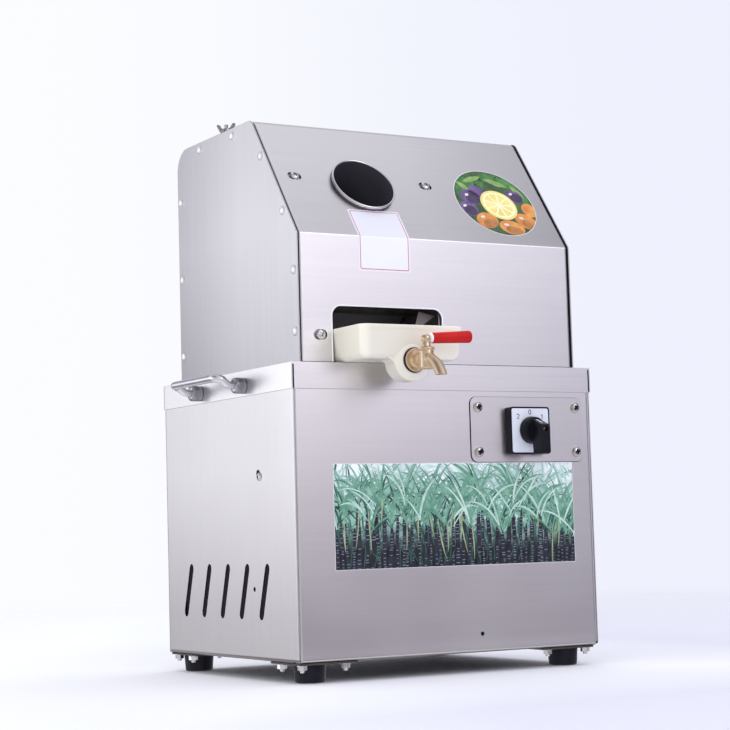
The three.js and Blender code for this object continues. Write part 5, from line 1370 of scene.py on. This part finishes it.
def leaf_print(name, z0, z1):
    m, nt, p = new_mat(name)
    co = coords(nt)
    sep = nt.nodes.new("ShaderNodeSeparateXYZ")
    nt.links.new(co, sep.inputs[0])
    v = remap(nt, sep.outputs["Z"], z0, z1, 0.0, 1.0)
    # slow bending of all strokes
    wob = nt.nodes.new("ShaderNodeTexNoise")
    wob.inputs["Scale"].default_value = 26.0
    wob.inputs["Detail"].default_value = 1.0
    nt.links.new(co, wob.inputs["Vector"])
    off = nt.nodes.new("ShaderNodeVectorMath")
    off.operation = "MULTIPLY_ADD"
    nt.links.new(wob.outputs["Color"], off.inputs[0])
    off.inputs[1].default_value = (0.022, 0.0, 0.022)
    nt.links.new(co, off.inputs[2])
    bent = off.outputs[0]
    tone = noise(nt, co, 55.0, 4.0)
    sky = mix_colour(nt, remap(nt, math_node(nt, "ADD", v, math_node(nt, "MULTIPLY", tone, 0.5)), 0.65, 1.10, 0.0, 1.0),
                     ramp(nt, tone, 0.35, 0.65, srgb(120, 158, 150), srgb(176, 204, 198)), ramp(nt, tone, 0.35, 0.65, srgb(216, 230, 230), srgb(242, 247, 250)))
    cur = sky
    layers = [
        # turn, width, length, threshold, how much rarer toward the top, dark and light tone
        (12, 0.0028, 0.045, 0.36, 0.30, (120, 168, 158), (176, 208, 200)),
        (-24, 0.0030, 0.052, 0.38, 0.30, (86, 142, 130), (158, 198, 186)),
        (38, 0.0028, 0.056, 0.41, 0.28, (62, 118, 104), (140, 186, 170)),
        (-50, 0.0026, 0.060, 0.44, 0.26, (40, 92, 80), (120, 170, 150)),
        (62, 0.0024, 0.050, 0.49, 0.18, (104, 160, 146), (198, 224, 214)),
        (-8, 0.0024, 0.060, 0.50, 0.18, (26, 68, 60), (86, 140, 122)),
    ]
    for i, (turn, wd, ln, th, rare, dk, lt) in enumerate(layers):
        vec = mapped(nt, bent, turn, (wd * 1.9, 1.0, ln), (0.31 * i, 0.0, 0.17 * i))
        n = noise(nt, vec, 1.0, 1.0)
        lim = math_node(nt, "MULTIPLY_ADD", v, rare, th)
        d = math_node(nt, "SUBTRACT", n, lim)
        mask = remap(nt, d, -0.010, 0.012, 0.0, 1.0)
        shade = math_node(nt, "ADD", noise(nt, mapped(nt, bent, turn, (wd * 0.8, 1.0, ln), (0.4 * i, 0, 0)), 1.0, 1.0), math_node(nt, "MULTIPLY", d, 1.6))
        cur = mix_colour(nt, mask, cur, ramp(nt, shade, 0.40, 0.68, srgb(*dk), srgb(*lt)))
    # dark ground between the stems, thinning out upward
    low_ = math_node(nt, "SUBTRACT", math_node(nt, "MULTIPLY_ADD", v, -2.9, 1.85), math_node(nt, "MULTIPLY", noise(nt, mapped(nt, co, 0, (0.006, 1.0, 0.030)), 1.0, 2.0), 0.75), clamp=True)
    cur = mix_colour(nt, low_, cur, ramp(nt, noise(nt, mapped(nt, co, 2, (0.0016, 1.0, 0.012)), 1.0, 3.0), 0.35, 0.70, srgb(12, 14, 20), srgb(46, 54, 60)))
    nt.links.new(cur, p.inputs["Base Color"])
    nt.links.new(remap(nt, noise(nt, co, 60.0, 2.0), 0.3, 0.7, 0.30, 0.38), p.inputs["Roughness"])
    p.inputs["Specular IOR Level"].default_value = 0.35
    bump(nt, noise(nt, co, 9.0, 2.0), 1.0, 0.0004, p)
    MATS[name] = m


FX0, FX1, FZ0, FZ1 = -166.0, 187.0, 108.0, 236.0
leaf_print("leaf_film", (FZ0 + DZ) * 0.001, (FZ1 + DZ) * 0.001)
film = prism("y", rrect(FX0, FX1, FZ0, FZ1, 0.8, 3), 1.34, 1.47)
round_edges(film, 0.03, 1)
piece(film, "front_film_edge", "sticker_white")
film = prism("y", rrect(FX0 + 0.5, FX1 - 0.5, FZ0 + 0.5, FZ1 - 0.5, 0.6, 3), 1.28, 1.36)
round_edges(film, 0.02, 1)
piece(film, "front_film_leaves", "leaf_film")


def ink(name, a, b, scale=60.0):
    surface(name, srgb(*a), srgb(*b), rough=(0.28, 0.36), scale=80.0, colour_scale=scale, bump_by=0.000004, bump_scale=300.0)


ink("ink_stem", (15, 16, 25), (44, 46, 64), 110.0)
ink("ink_joint", (98, 106, 128), (158, 166, 184), 120.0)
ink("ink_mist", (168, 200, 192), (210, 228, 224), 70.0)
ink("ink_blade_back", (108, 154, 142), (160, 198, 186), 80.0)
ink("ink_blade", (72, 128, 108), (126, 176, 150), 90.0)
ink("ink_blade_dark", (24, 56, 50), (62, 110, 94), 90.0)
ink("ink_blade_light", (156, 198, 182), (204, 226, 216), 80.0)
ink("ink_straw", (132, 150, 112), (176, 186, 148), 80.0)
pick = random.Random(41)
BX0, BX1, BZ0, BZ1 = FX0 + 0.7, FX1 - 0.7, FZ0 + 0.7, FZ1 - 0.7


FILM_LEVEL = 1.262


def flat_strips(rows, name, mat):
    """Flat tapering strips printed on the film: each row is a list of (left, right) points in (x, z)."""
    global FILM_LEVEL
    bm = bmesh.new()
    base_level, placed = FILM_LEVEL, []
    for row in rows:
        xs = [q[0] for pair in row for q in pair]
        zs = [q[1] for pair in row for q in pair]
        box = (min(xs), max(xs), min(zs), max(zs))
        taken = {s for s, b in placed if b[0] < box[1] and box[0] < b[1] and b[2] < box[3] and box[2] < b[3]}
        step = next(s for s in range(len(rows) + 1) if s not in taken)
        placed.append((step, box))
        level = base_level - 0.0020 * step
        FILM_LEVEL = min(FILM_LEVEL, level - 0.008)
        kept = []
        for l, r in row:
            q = [(min(max(x, BX0), BX1), min(max(z, BZ0), BZ1)) for x, z in (l, r)]
            if math.hypot(q[0][0] - q[1][0], q[0][1] - q[1][1]) < 0.04:
                if kept:
                    break
                continue
            kept.append(q)
        if len(kept) < 2:
            continue
        f = [[bm.verts.new((x, level, z)) for x, z in q] for q in kept]
        g = [[bm.verts.new((x, 1.31, z)) for x, z in q] for q in kept]
        for i in range(len(kept) - 1):
            bm.faces.new((f[i][0], f[i][1], f[i + 1][1], f[i + 1][0]))
            bm.faces.new((g[i][0], g[i + 1][0], g[i + 1][1], g[i][1]))
            bm.faces.new((f[i][0], f[i + 1][0], g[i + 1][0], g[i][0]))
            bm.faces.new((f[i][1], g[i][1], g[i + 1][1], f[i + 1][1]))
        for i in (0, -1):
            bm.faces.new((f[i][0], g[i][0], g[i][1], f[i][1]))
    o = to_obj(bm, name)
    piece(o, name, mat)


def blade(x, z, lean, droop, length, width, steps=12):
    """A leaf blade that rises at lean degrees from upright and bends over by droop degrees."""
    out, ang = [], lean
    for k in range(steps + 1):
        t = k / steps
        a = math.radians(ang)
        w = width / 2 * (0.03 + 0.97 * math.sin(math.pi * (0.14 + 0.86 * t)) ** 0.75)
        n_ = (math.cos(a), -math.sin(a))
        out.append(((x - n_[0] * w, z - n_[1] * w), (x + n_[0] * w, z + n_[1] * w)))
        x += math.sin(a) * length / steps
        z += math.cos(a) * length / steps
        ang += droop / steps * (0.5 + t)
    return out


def tuft(x, z, count, size, wide):
    rows = []
    for k in range(count):
        side_k = -1 if pick.random() < 0.5 else 1
        lean = side_k * pick.uniform(2, 44)
        rows.append(blade(x + pick.uniform(-4, 4), z + pick.uniform(-7, 5), lean, side_k * pick.uniform(10, 96), size * pick.uniform(0.6, 1.15), wide * pick.uniform(0.6, 1.1)))
    return rows


stems, joints, heads_ = [], [], []
x = FX0 + 3.0
while x < FX1 - 2:
    w = pick.uniform(3.4, 6.6)
    top_z = pick.uniform(152, 188)
    slant = pick.uniform(-0.05, 0.05)
    row = []
    for k in range(9):
        z = FZ0 + (top_z - FZ0) * k / 8
        cx = x + slant * (z - FZ0) + 0.8 * math.sin(z * 0.06 + x)
        ww = w / 2 * (1.0 if k < 7 else 0.8 if k == 7 else 0.45)
        row.append(((cx - ww, z), (cx + ww, z)))
    stems.append(row)
    z = FZ0 + pick.uniform(0.5, 4)
    gap_z = pick.uniform(2.8, 5.6)
    while z < top_z - 6:
        if pick.random() < 0.16:
            z += gap_z * pick.uniform(1.0, 2.6)
            continue
        cx = x + slant * (z - FZ0) + 0.8 * math.sin(z * 0.06 + x)
        a_, b_ = cx - w / 2 * pick.uniform(0.35, 0.95), cx + w / 2 * pick.uniform(0.35, 0.95)
        joints.append([((a_, z), (a_, z + 0.65)), ((cx, z - 0.3), (cx, z + 0.5)), ((b_, z + 0.1), (b_, z + 0.7))])
        z += gap_z * pick.uniform(0.6, 1.5)
    heads_.append((x + slant * (top_z - FZ0), top_z))
    x += w + pick.uniform(0.8, 5.6)
mist, back, mid_, dark, light, straw = [], [], [], [], [], []
for k in range(24):
    mist += tuft(pick.uniform(FX0, FX1), pick.uniform(170, 206), 7, 62, 4.0)
for hx, hz in heads_:
    back += tuft(hx, hz + pick.uniform(0, 18), 5, 64, 3.8)
    if pick.random() < 0.9:
        mid_ += tuft(hx, hz + pick.uniform(-8, 14), 4, 58, 3.2)
    if pick.random() < 0.85:
        dark += tuft(hx, hz + pick.uniform(-12, 16), 3, 48, 2.6)
    if pick.random() < 0.46:
        light += tuft(hx, hz + pick.uniform(-6, 16), 2, 58, 2.8)
    if pick.random() < 0.24:
        straw.append(blade(hx + pick.uniform(-3, 3), hz + pick.uniform(-4, 10), 180 + pick.uniform(-9, 9), pick.uniform(-14, 14), pick.uniform(26, 56), 1.9))
for k in range(26):
    dark.append(blade(pick.uniform(FX0, FX1), FZ0 + pick.uniform(0, 8), pick.uniform(-30, 30), pick.uniform(-60, 60), pick.uniform(18, 40), 1.3))
flat_strips(mist, "front_film_mist", "ink_mist")
flat_strips(back, "front_film_far_blades", "ink_blade_back")
flat_strips(stems, "front_film_stems", "ink_stem")
flat_strips(joints, "front_film_joints", "ink_joint")
flat_strips(dark, "front_film_dark_blades", "ink_blade_dark")
flat_strips(mid_, "front_film_blades", "ink_blade")
flat_strips(straw, "front_film_straw", "ink_straw")
flat_strips(light, "front_film_light_blades", "ink_blade_light")

# ================================================================== round film on the slope: plain round shapes and leaves
GX, GS, GR = 119.0, 76.6, 60.2


ink("ink_ground", (36, 62, 44), (74, 104, 62), 45.0)
ink("ink_leaf", (34, 92, 44), (84, 140, 74), 90.0)
ink("ink_leaf_light", (92, 140, 70), (150, 178, 104), 90.0)
ink("ink_plum", (66, 48, 92), (120, 98, 150), 70.0)
ink("ink_plum_dark", (44, 34, 60), (78, 60, 96), 70.0)
ink("ink_cream", (240, 232, 176), (250, 246, 214), 40.0)
ink("ink_yellow", (226, 206, 112), (240, 226, 150), 60.0)
ink("ink_orange", (196, 116, 52), (228, 160, 82), 70.0)
ink("ink_brown", (150, 92, 44), (190, 132, 74), 90.0)
ink("ink_pale", (214, 206, 214), (236, 230, 232), 60.0)


def clip_disc(pts, r):
    out = []
    for x, s in pts:
        d = math.hypot(x, s)
        k = min(1.0, r / d) if d > 0 else 1.0
        out.append((x * k, s * k))
    keep = []
    for q in out:
        if not keep or math.hypot(q[0] - keep[-1][0], q[1] - keep[-1][1]) > 0.05:
            keep.append(q)
    if math.hypot(keep[0][0] - keep[-1][0], keep[0][1] - keep[-1][1]) < 0.05:
        keep.pop()
    return keep


def blob(cx, cs, rx, rs, turn=0.0, n=44):
    t = math.radians(turn)
    return [(cx + rx * math.cos(a) * math.cos(t) - rs * math.sin(a) * math.sin(t), cs + rx * math.cos(a) * math.sin(t) + rs * math.sin(a) * math.cos(t)) for a in [2 * math.pi * k / n for k in range(n)]]


def leaf(cx, cs, length, width, turn, n=18):
    t = math.radians(turn)
    pts = [(length * (k / n - 0.5), width / 2 * math.sin(math.pi * k / n) ** 0.8) for k in range(n)] + [(length * (0.5 - k / n), -width / 2 * math.sin(math.pi * k / n) ** 0.8) for k in range(n)]
    return [(cx + a * math.cos(t) - b * math.sin(t), cs + a * math.sin(t) + b * math.cos(t)) for a, b in pts]


def layer(shapes, level, name, mat):
    obs = []
    for pts in shapes:
        pts = clip_disc(pts, GR - 0.7)
        obs.append(slope_prism([(GX + a, GS + b) for a, b in pts], level, level + 0.035))
    o = join(*obs) if len(obs) > 1 else obs[0]
    round_edges(o, 0, 1)
    piece(o, name, mat)


rim = slope_prism(ring(GX, GS, GR, 96), 0.03, 0.13)
round_edges(rim, 0.03, 1)
piece(rim, "slope_film_edge", "sticker_white")
layer([blob(0, 0, GR - 0.7, GR - 0.7, 0, 96)], 0.12, "slope_film_ground", "ink_ground")
layer([leaf(-30, 36, 46, 16, 150), leaf(2, 47, 44, 14, 12), leaf(-46, 12, 38, 14, 100), leaf(34, 38, 40, 15, -40), leaf(-14, 30, 40, 13, 60), leaf(50, 10, 34, 14, -80)], 0.145, "slope_film_leaves", "ink_leaf")
layer([leaf(-20, 43, 34, 9, 20), leaf(16, 38, 36, 10, -22), leaf(-38, 26, 30, 9, 128), leaf(44, 24, 28, 9, -62)], 0.17, "slope_film_light_leaves", "ink_leaf_light")
layer([blob(-36, 8, 15, 14), blob(-47, -14, 14, 13), blob(-22, 20, 12, 11), blob(36, 14, 13, 12)], 0.195, "slope_film_plums", "ink_plum")
layer([blob(-33, 5, 10.5, 9.5), blob(-45, -17, 10, 9), blob(38, 12, 9, 8)], 0.22, "slope_film_plum_shade", "ink_plum_dark")
layer([blob(-26, -34, 17, 14, 20), blob(8, -45, 19, 13, -8), blob(36, -32, 17, 14, -30), blob(50, -10, 12, 13, 0)], 0.245, "slope_film_oranges", "ink_orange")
layer([blob(-23, -39, 12, 8, 20), blob(10, -50, 13, 7, -8), blob(38, -38, 11, 8, -30)], 0.27, "slope_film_orange_shade", "ink_brown")
layer([blob(4, -4, 27, 27)], 0.295, "slope_film_rind", "ink_yellow")
layer([blob(4, -4, 23.5, 23.5)], 0.32, "slope_film_pith", "ink_cream")
seg = []
for k in range(9):
    a0, a1 = 2 * math.pi * (k + 0.09) / 9, 2 * math.pi * (k + 0.91) / 9
    inner_ = [(4 + 3.2 * math.cos((a0 + a1) / 2), -4 + 3.2 * math.sin((a0 + a1) / 2))]
    seg.append(inner_ + [(4 + 20.6 * math.cos(a0 + (a1 - a0) * i / 6), -4 + 20.6 * math.sin(a0 + (a1 - a0) * i / 6)) for i in range(7)])
layer(seg, 0.345, "slope_film_segments", "ink_yellow")
layer([blob(-40, 12, 3.2, 2.2, 30), blob(-51, -9, 3.0, 2.0, 30), blob(32, 19, 3.0, 2.0, 30), blob(-31, -28, 3.6, 2.2, 20), blob(1, -40, 4.0, 2.2, 0), blob(30, -26, 3.6, 2.0, -20)], 0.345, "slope_film_glints", "ink_pale")

# ================================================================== bent guide plate end seen through the mouth
def plate_xz(pts, y0, y1):
    return prism("y", pts, y0, y1)


ge = plate_xz([(-20.8, 428.4), (3.1, 423.0), (-17.0, 410.0), (-20.5, 402.6), (-30.5, 402.6), (-26.6, 410.6)], 29.4, 30.6)
round_edges(ge, 0.2, 2)
piece(ge, "guide_plate_end", "guide_steel")
gl = plate_xz(rrect(-0.6, 1.6, 402.8, 427.0, 0.8, 4), 15.2, 16.2)
round_edges(gl, 0.25, 2)
piece(gl, "guide_plate_edge", "seam_steel")

# ================================================================== stage: floor, light, camera
fl_bm = bmesh.new()
bmesh.ops.create_grid(fl_bm, x_segments=1, y_segments=1, size=14.0)
floor_me = bpy.data.meshes.new("floor")
fl_bm.to_mesh(floor_me)
fl_bm.free()
floor = bpy.data.objects.new("floor", floor_me)
scene.collection.objects.link(floor)
floor.location = (0, 0, 0)
floor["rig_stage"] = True
fm, nt, p = new_mat("floor_paper")
p.inputs["Roughness"].default_value = 0.75
p.inputs["Specular IOR Level"].default_value = 0.2
co = coords(nt)
# floor colour goes from near white on the left to bluish grey on the right: painted shade
dl = nt.nodes.new("ShaderNodeVectorMath")
dl.operation = "DOT_PRODUCT"
nt.links.new(co, dl.inputs[0])
dl.inputs[1].default_value = (0.866, -0.5, 0.0)
side_ = remap(nt, dl.outputs["Value"], -0.55, 0.10, 0.0, 1.0)
grain_ = noise(nt, co, 1.3, 2.0)
fmix = nt.nodes.new("ShaderNodeMix")
fmix.data_type = "RGBA"
nt.links.new(side_, fmix.inputs["Factor"])
nt.links.new(ramp(nt, grain_, 0.3, 0.7, (0.900, 0.912, 0.925), (0.910, 0.922, 0.935)), fmix.inputs["A"])
nt.links.new(ramp(nt, grain_, 0.3, 0.7, (0.715, 0.715, 0.805), (0.727, 0.727, 0.815)), fmix.inputs["B"])
# painted light: the floor is whiter close round the object, which lightens its shadow
edge_ = nt.nodes.new("ShaderNodeVectorMath")
edge_.operation = "ABSOLUTE"
mid_floor = nt.nodes.new("ShaderNodeVectorMath")
mid_floor.operation = "SUBTRACT"
nt.links.new(co, mid_floor.inputs[0])
mid_floor.inputs[1].default_value = (0.0, 0.058, 0.0)
nt.links.new(mid_floor.outputs[0], edge_.inputs[0])
sep_edge = nt.nodes.new("ShaderNodeSeparateXYZ")
nt.links.new(edge_.outputs[0], sep_edge.inputs[0])
far_edge = nt.nodes.new("ShaderNodeMath")
far_edge.operation = "MAXIMUM"
nt.links.new(sep_edge.outputs["X"], far_edge.inputs[0])
nt.links.new(sep_edge.outputs["Y"], far_edge.inputs[1])
painted_light_mix = nt.nodes.new("ShaderNodeMix")
painted_light_mix.data_type = "RGBA"
nt.links.new(remap(nt, far_edge.outputs[0], 0.28, 0.60, 1.0, 0.0), painted_light_mix.inputs["Factor"])
nt.links.new(fmix.outputs["Result"], painted_light_mix.inputs["A"])
nt.links.new(ramp(nt, grain_, 0.3, 0.7, (0.925, 0.928, 0.985), (0.935, 0.938, 0.990)), painted_light_mix.inputs["B"])
nt.links.new(painted_light_mix.outputs["Result"], p.inputs["Base Color"])
# fades into the backdrop's tone well behind and round the object
sepn = nt.nodes.new("ShaderNodeVectorMath")
sepn.operation = "LENGTH"
nt.links.new(co, sepn.inputs[0])
fade = remap(nt, sepn.outputs["Value"], 1.0, 3.2, 0.0, 1.0)
tr = nt.nodes.new("ShaderNodeBsdfTransparent")
mx = nt.nodes.new("ShaderNodeMixShader")
nt.links.new(fade, mx.inputs[0])
nt.links.new(p.outputs[0], mx.inputs[1])
nt.links.new(tr.outputs[0], mx.inputs[2])
nt.links.new(mx.outputs[0], nt.nodes["Material Output"].inputs["Surface"])
floor_me.materials.append(fm)
floor.visible_glossy = False

# world: a white sweep with soft brighter and darker quarters, by direction
world = bpy.data.worlds.new("studio")
scene.world = world
world.use_nodes = True
nt = world.node_tree
bg = nt.nodes["Background"]
tc = nt.nodes.new("ShaderNodeTexCoord")
vec = tc.outputs["Generated"]


def lobe(direction, near_deg, far_deg):
    """1 within near_deg of the direction, 0 beyond far_deg."""
    d_ = Vector(direction).normalized()
    v = nt.nodes.new("ShaderNodeVectorMath")
    v.operation = "DOT_PRODUCT"
    nt.links.new(vec, v.inputs[0])
    v.inputs[1].default_value = d_
    r = nt.nodes.new("ShaderNodeMapRange")
    r.interpolation_type = "SMOOTHSTEP"
    r.inputs["From Min"].default_value = math.cos(math.radians(far_deg))
    r.inputs["From Max"].default_value = math.cos(math.radians(near_deg))
    nt.links.new(v.outputs["Value"], r.inputs["Value"])
    return r.outputs["Result"]


def azel(az, el):
    """az from +Y (back) toward +X, in degrees; el above the horizon."""
    a, e = math.radians(az), math.radians(el)
    return (math.sin(a) * math.cos(e), math.cos(a) * math.cos(e), math.sin(e))


d = nt.nodes.new("ShaderNodeVectorMath")
d.operation = "DOT_PRODUCT"
nt.links.new(vec, d.inputs[0])
d.inputs[1].default_value = (0.866, -0.5, 0.0)
mr = nt.nodes.new("ShaderNodeMapRange")
mr.interpolation_type = "SMOOTHSTEP"
mr.inputs["From Min"].default_value = -0.17
mr.inputs["From Max"].default_value = 0.15
nt.links.new(d.outputs["Value"], mr.inputs["Value"])
m = nt.nodes.new("ShaderNodeMix")
m.data_type = "RGBA"
m.inputs["A"].default_value = (0.966, 0.980, 1.0, 1)
m.inputs["B"].default_value = (0.862, 0.878, 0.985, 1)
nt.links.new(mr.outputs["Result"], m.inputs["Factor"])
cur = m.outputs["Result"]
nt.links.new(cur, bg.inputs["Color"])
bg.inputs["Strength"].default_value = 1.0
world.cycles.sampling_method = "NONE"

# what the steel mirrors: the studio's walls, softboxes and dark corners, on a dome that only reflections see
DOME_BASE = (0.60, 0.58, 0.61)
LIGHTS = [
    # azimuth, elevation, sharpness, how much brighter or darker
    (159, 23, 30, (2.45, 2.40, 2.55)),      # large softbox in front, high on the left
    (142, 36, 90, (1.10, 1.10, 1.15)),      # its upper edge
    (155, -12, 30, (-0.85, -0.92, -0.93)),  # dark floor in front
    (123, 12, 30, (-0.92, -0.86, -0.62)),   # dark wall on the right
    (85, 8, 14, (-0.22, -0.20, -0.16)),
    (-38, 6, 30, (1.55, 1.60, 1.60)),       # bright wall behind, left
    (-27, -18, 30, (-0.95, -1.02, -1.02)),
    (-9, 14, 30, (-0.95, -0.98, -0.90)),
    (-73, 4, 46, (1.30, 1.30, 1.25)),       # lamp on the left
    (-100, 50, 8, (-0.48, -0.46, -0.46)),   # dark room above it
    (33, 6, 12, (0.42, 0.44, 0.44)),        # white backdrop behind
    (60, 46, 24, (-0.22, -0.20, -0.20)),
    (108, 44, 26, (-0.36, -0.33, -0.36)),
    (110, 74, 7, (0.28, 0.28, 0.32)),       # ceiling
    (150, -80, 4, (0.34, 0.35, 0.37)),      # white floor under the object
]
dome_bm = bmesh.new()
bmesh.ops.create_icosphere(dome_bm, subdivisions=5, radius=20.0)
dome_me = bpy.data.meshes.new("dome")
dome_bm.to_mesh(dome_me)
dome_bm.free()
dome = bpy.data.objects.new("dome", dome_me)
scene.collection.objects.link(dome)
dome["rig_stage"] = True
dome_me.polygons.foreach_set("use_smooth", [True] * len(dome_me.polygons))
for flag in ("visible_camera", "visible_diffuse", "visible_transmission", "visible_volume_scatter", "visible_shadow"):
    setattr(dome, flag, False)
dm = bpy.data.materials.new("dome_light")
dm.use_nodes = True
nt = dm.node_tree
nt.nodes.clear()
out_ = nt.nodes.new("ShaderNodeOutputMaterial")
em = nt.nodes.new("ShaderNodeEmission")
nt.links.new(em.outputs[0], out_.inputs["Surface"])
nz = nt.nodes.new("ShaderNodeVectorMath")
nz.operation = "NORMALIZE"
nt.links.new(nt.nodes.new("ShaderNodeTexCoord").outputs["Object"], nz.inputs[0])
total = None
for a_, e_, sharp, c_ in LIGHTS:
    dt = nt.nodes.new("ShaderNodeVectorMath")
    dt.operation = "DOT_PRODUCT"
    nt.links.new(nz.outputs[0], dt.inputs[0])
    dt.inputs[1].default_value = azel(a_, e_)
    ma = nt.nodes.new("ShaderNodeMath")
    ma.operation = "MULTIPLY_ADD"
    nt.links.new(dt.outputs["Value"], ma.inputs[0])
    ma.inputs[1].default_value = sharp
    ma.inputs[2].default_value = -sharp
    ex = nt.nodes.new("ShaderNodeMath")
    ex.operation = "EXPONENT"
    nt.links.new(ma.outputs[0], ex.inputs[0])
    sc_ = nt.nodes.new("ShaderNodeVectorMath")
    sc_.operation = "MULTIPLY_ADD"
    sc_.inputs[0].default_value = c_
    nt.links.new(ex.outputs[0], sc_.inputs[1])
    if total is None:
        sc_.inputs[2].default_value = DOME_BASE
    else:
        nt.links.new(total, sc_.inputs[2])
    total = sc_.outputs[0]
mxn = nt.nodes.new("ShaderNodeVectorMath")
mxn.operation = "MAXIMUM"
nt.links.new(total, mxn.inputs[0])
mxn.inputs[1].default_value = (0.16, 0.155, 0.165)
nt.links.new(mxn.outputs[0], em.inputs["Color"])
dm.cycles.emission_sampling = "NONE"
dome_me.materials.append(dm)

top = bpy.data.lights.new("overhead", "AREA")
top.shape = "SQUARE"
top.size = 4.0
top.energy = 34.0
top_o = bpy.data.objects.new("overhead", top)
scene.collection.objects.link(top_o)
top_o.location = (0.3, 0.2, 3.2)
top_o.visible_glossy = False
top_o.visible_camera = False
top_o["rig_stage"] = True

front = bpy.data.lights.new("front_fill", "AREA")
front.shape = "RECTANGLE"
front.size = 3.0
front.size_y = 2.0
front.energy = 26.0
front_o = bpy.data.objects.new("front_fill", front)
scene.collection.objects.link(front_o)
front_o.location = (-1.4, -3.0, 1.5)
front_o.rotation_euler = (Vector((0, 0, 0.35)) - Vector(front_o.location)).to_track_quat("-Z", "Y").to_euler()
front_o.visible_glossy = False
front_o.visible_camera = False
front_o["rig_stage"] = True

scene.view_settings.view_transform = "Standard"

cam_d = bpy.data.cameras.new("camera")
cam = bpy.data.objects.new("camera", cam_d)
scene.collection.objects.link(cam)
az, el, ro = 0.5235, 0.0880, -0.0286
f = Vector((math.sin(az) * math.cos(el), math.cos(az) * math.cos(el), math.sin(el)))
r = f.cross(Vector((0, 0, 1))).normalized()
u = r.cross(f)
r2 = r * math.cos(ro) + u * math.sin(ro)
u2 = -r * math.sin(ro) + u * math.cos(ro)
rot = Matrix((r2, u2, -f)).transposed().to_4x4()
cam.matrix_world = Matrix.Translation((-1.2862, -2.1567, 0.1748)) @ rot
cam_d.lens = 94.88
cam_d.sensor_width = 36.0
cam_d.clip_end = 100.0
scene.camera = cam
cam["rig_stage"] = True

lo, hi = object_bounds()
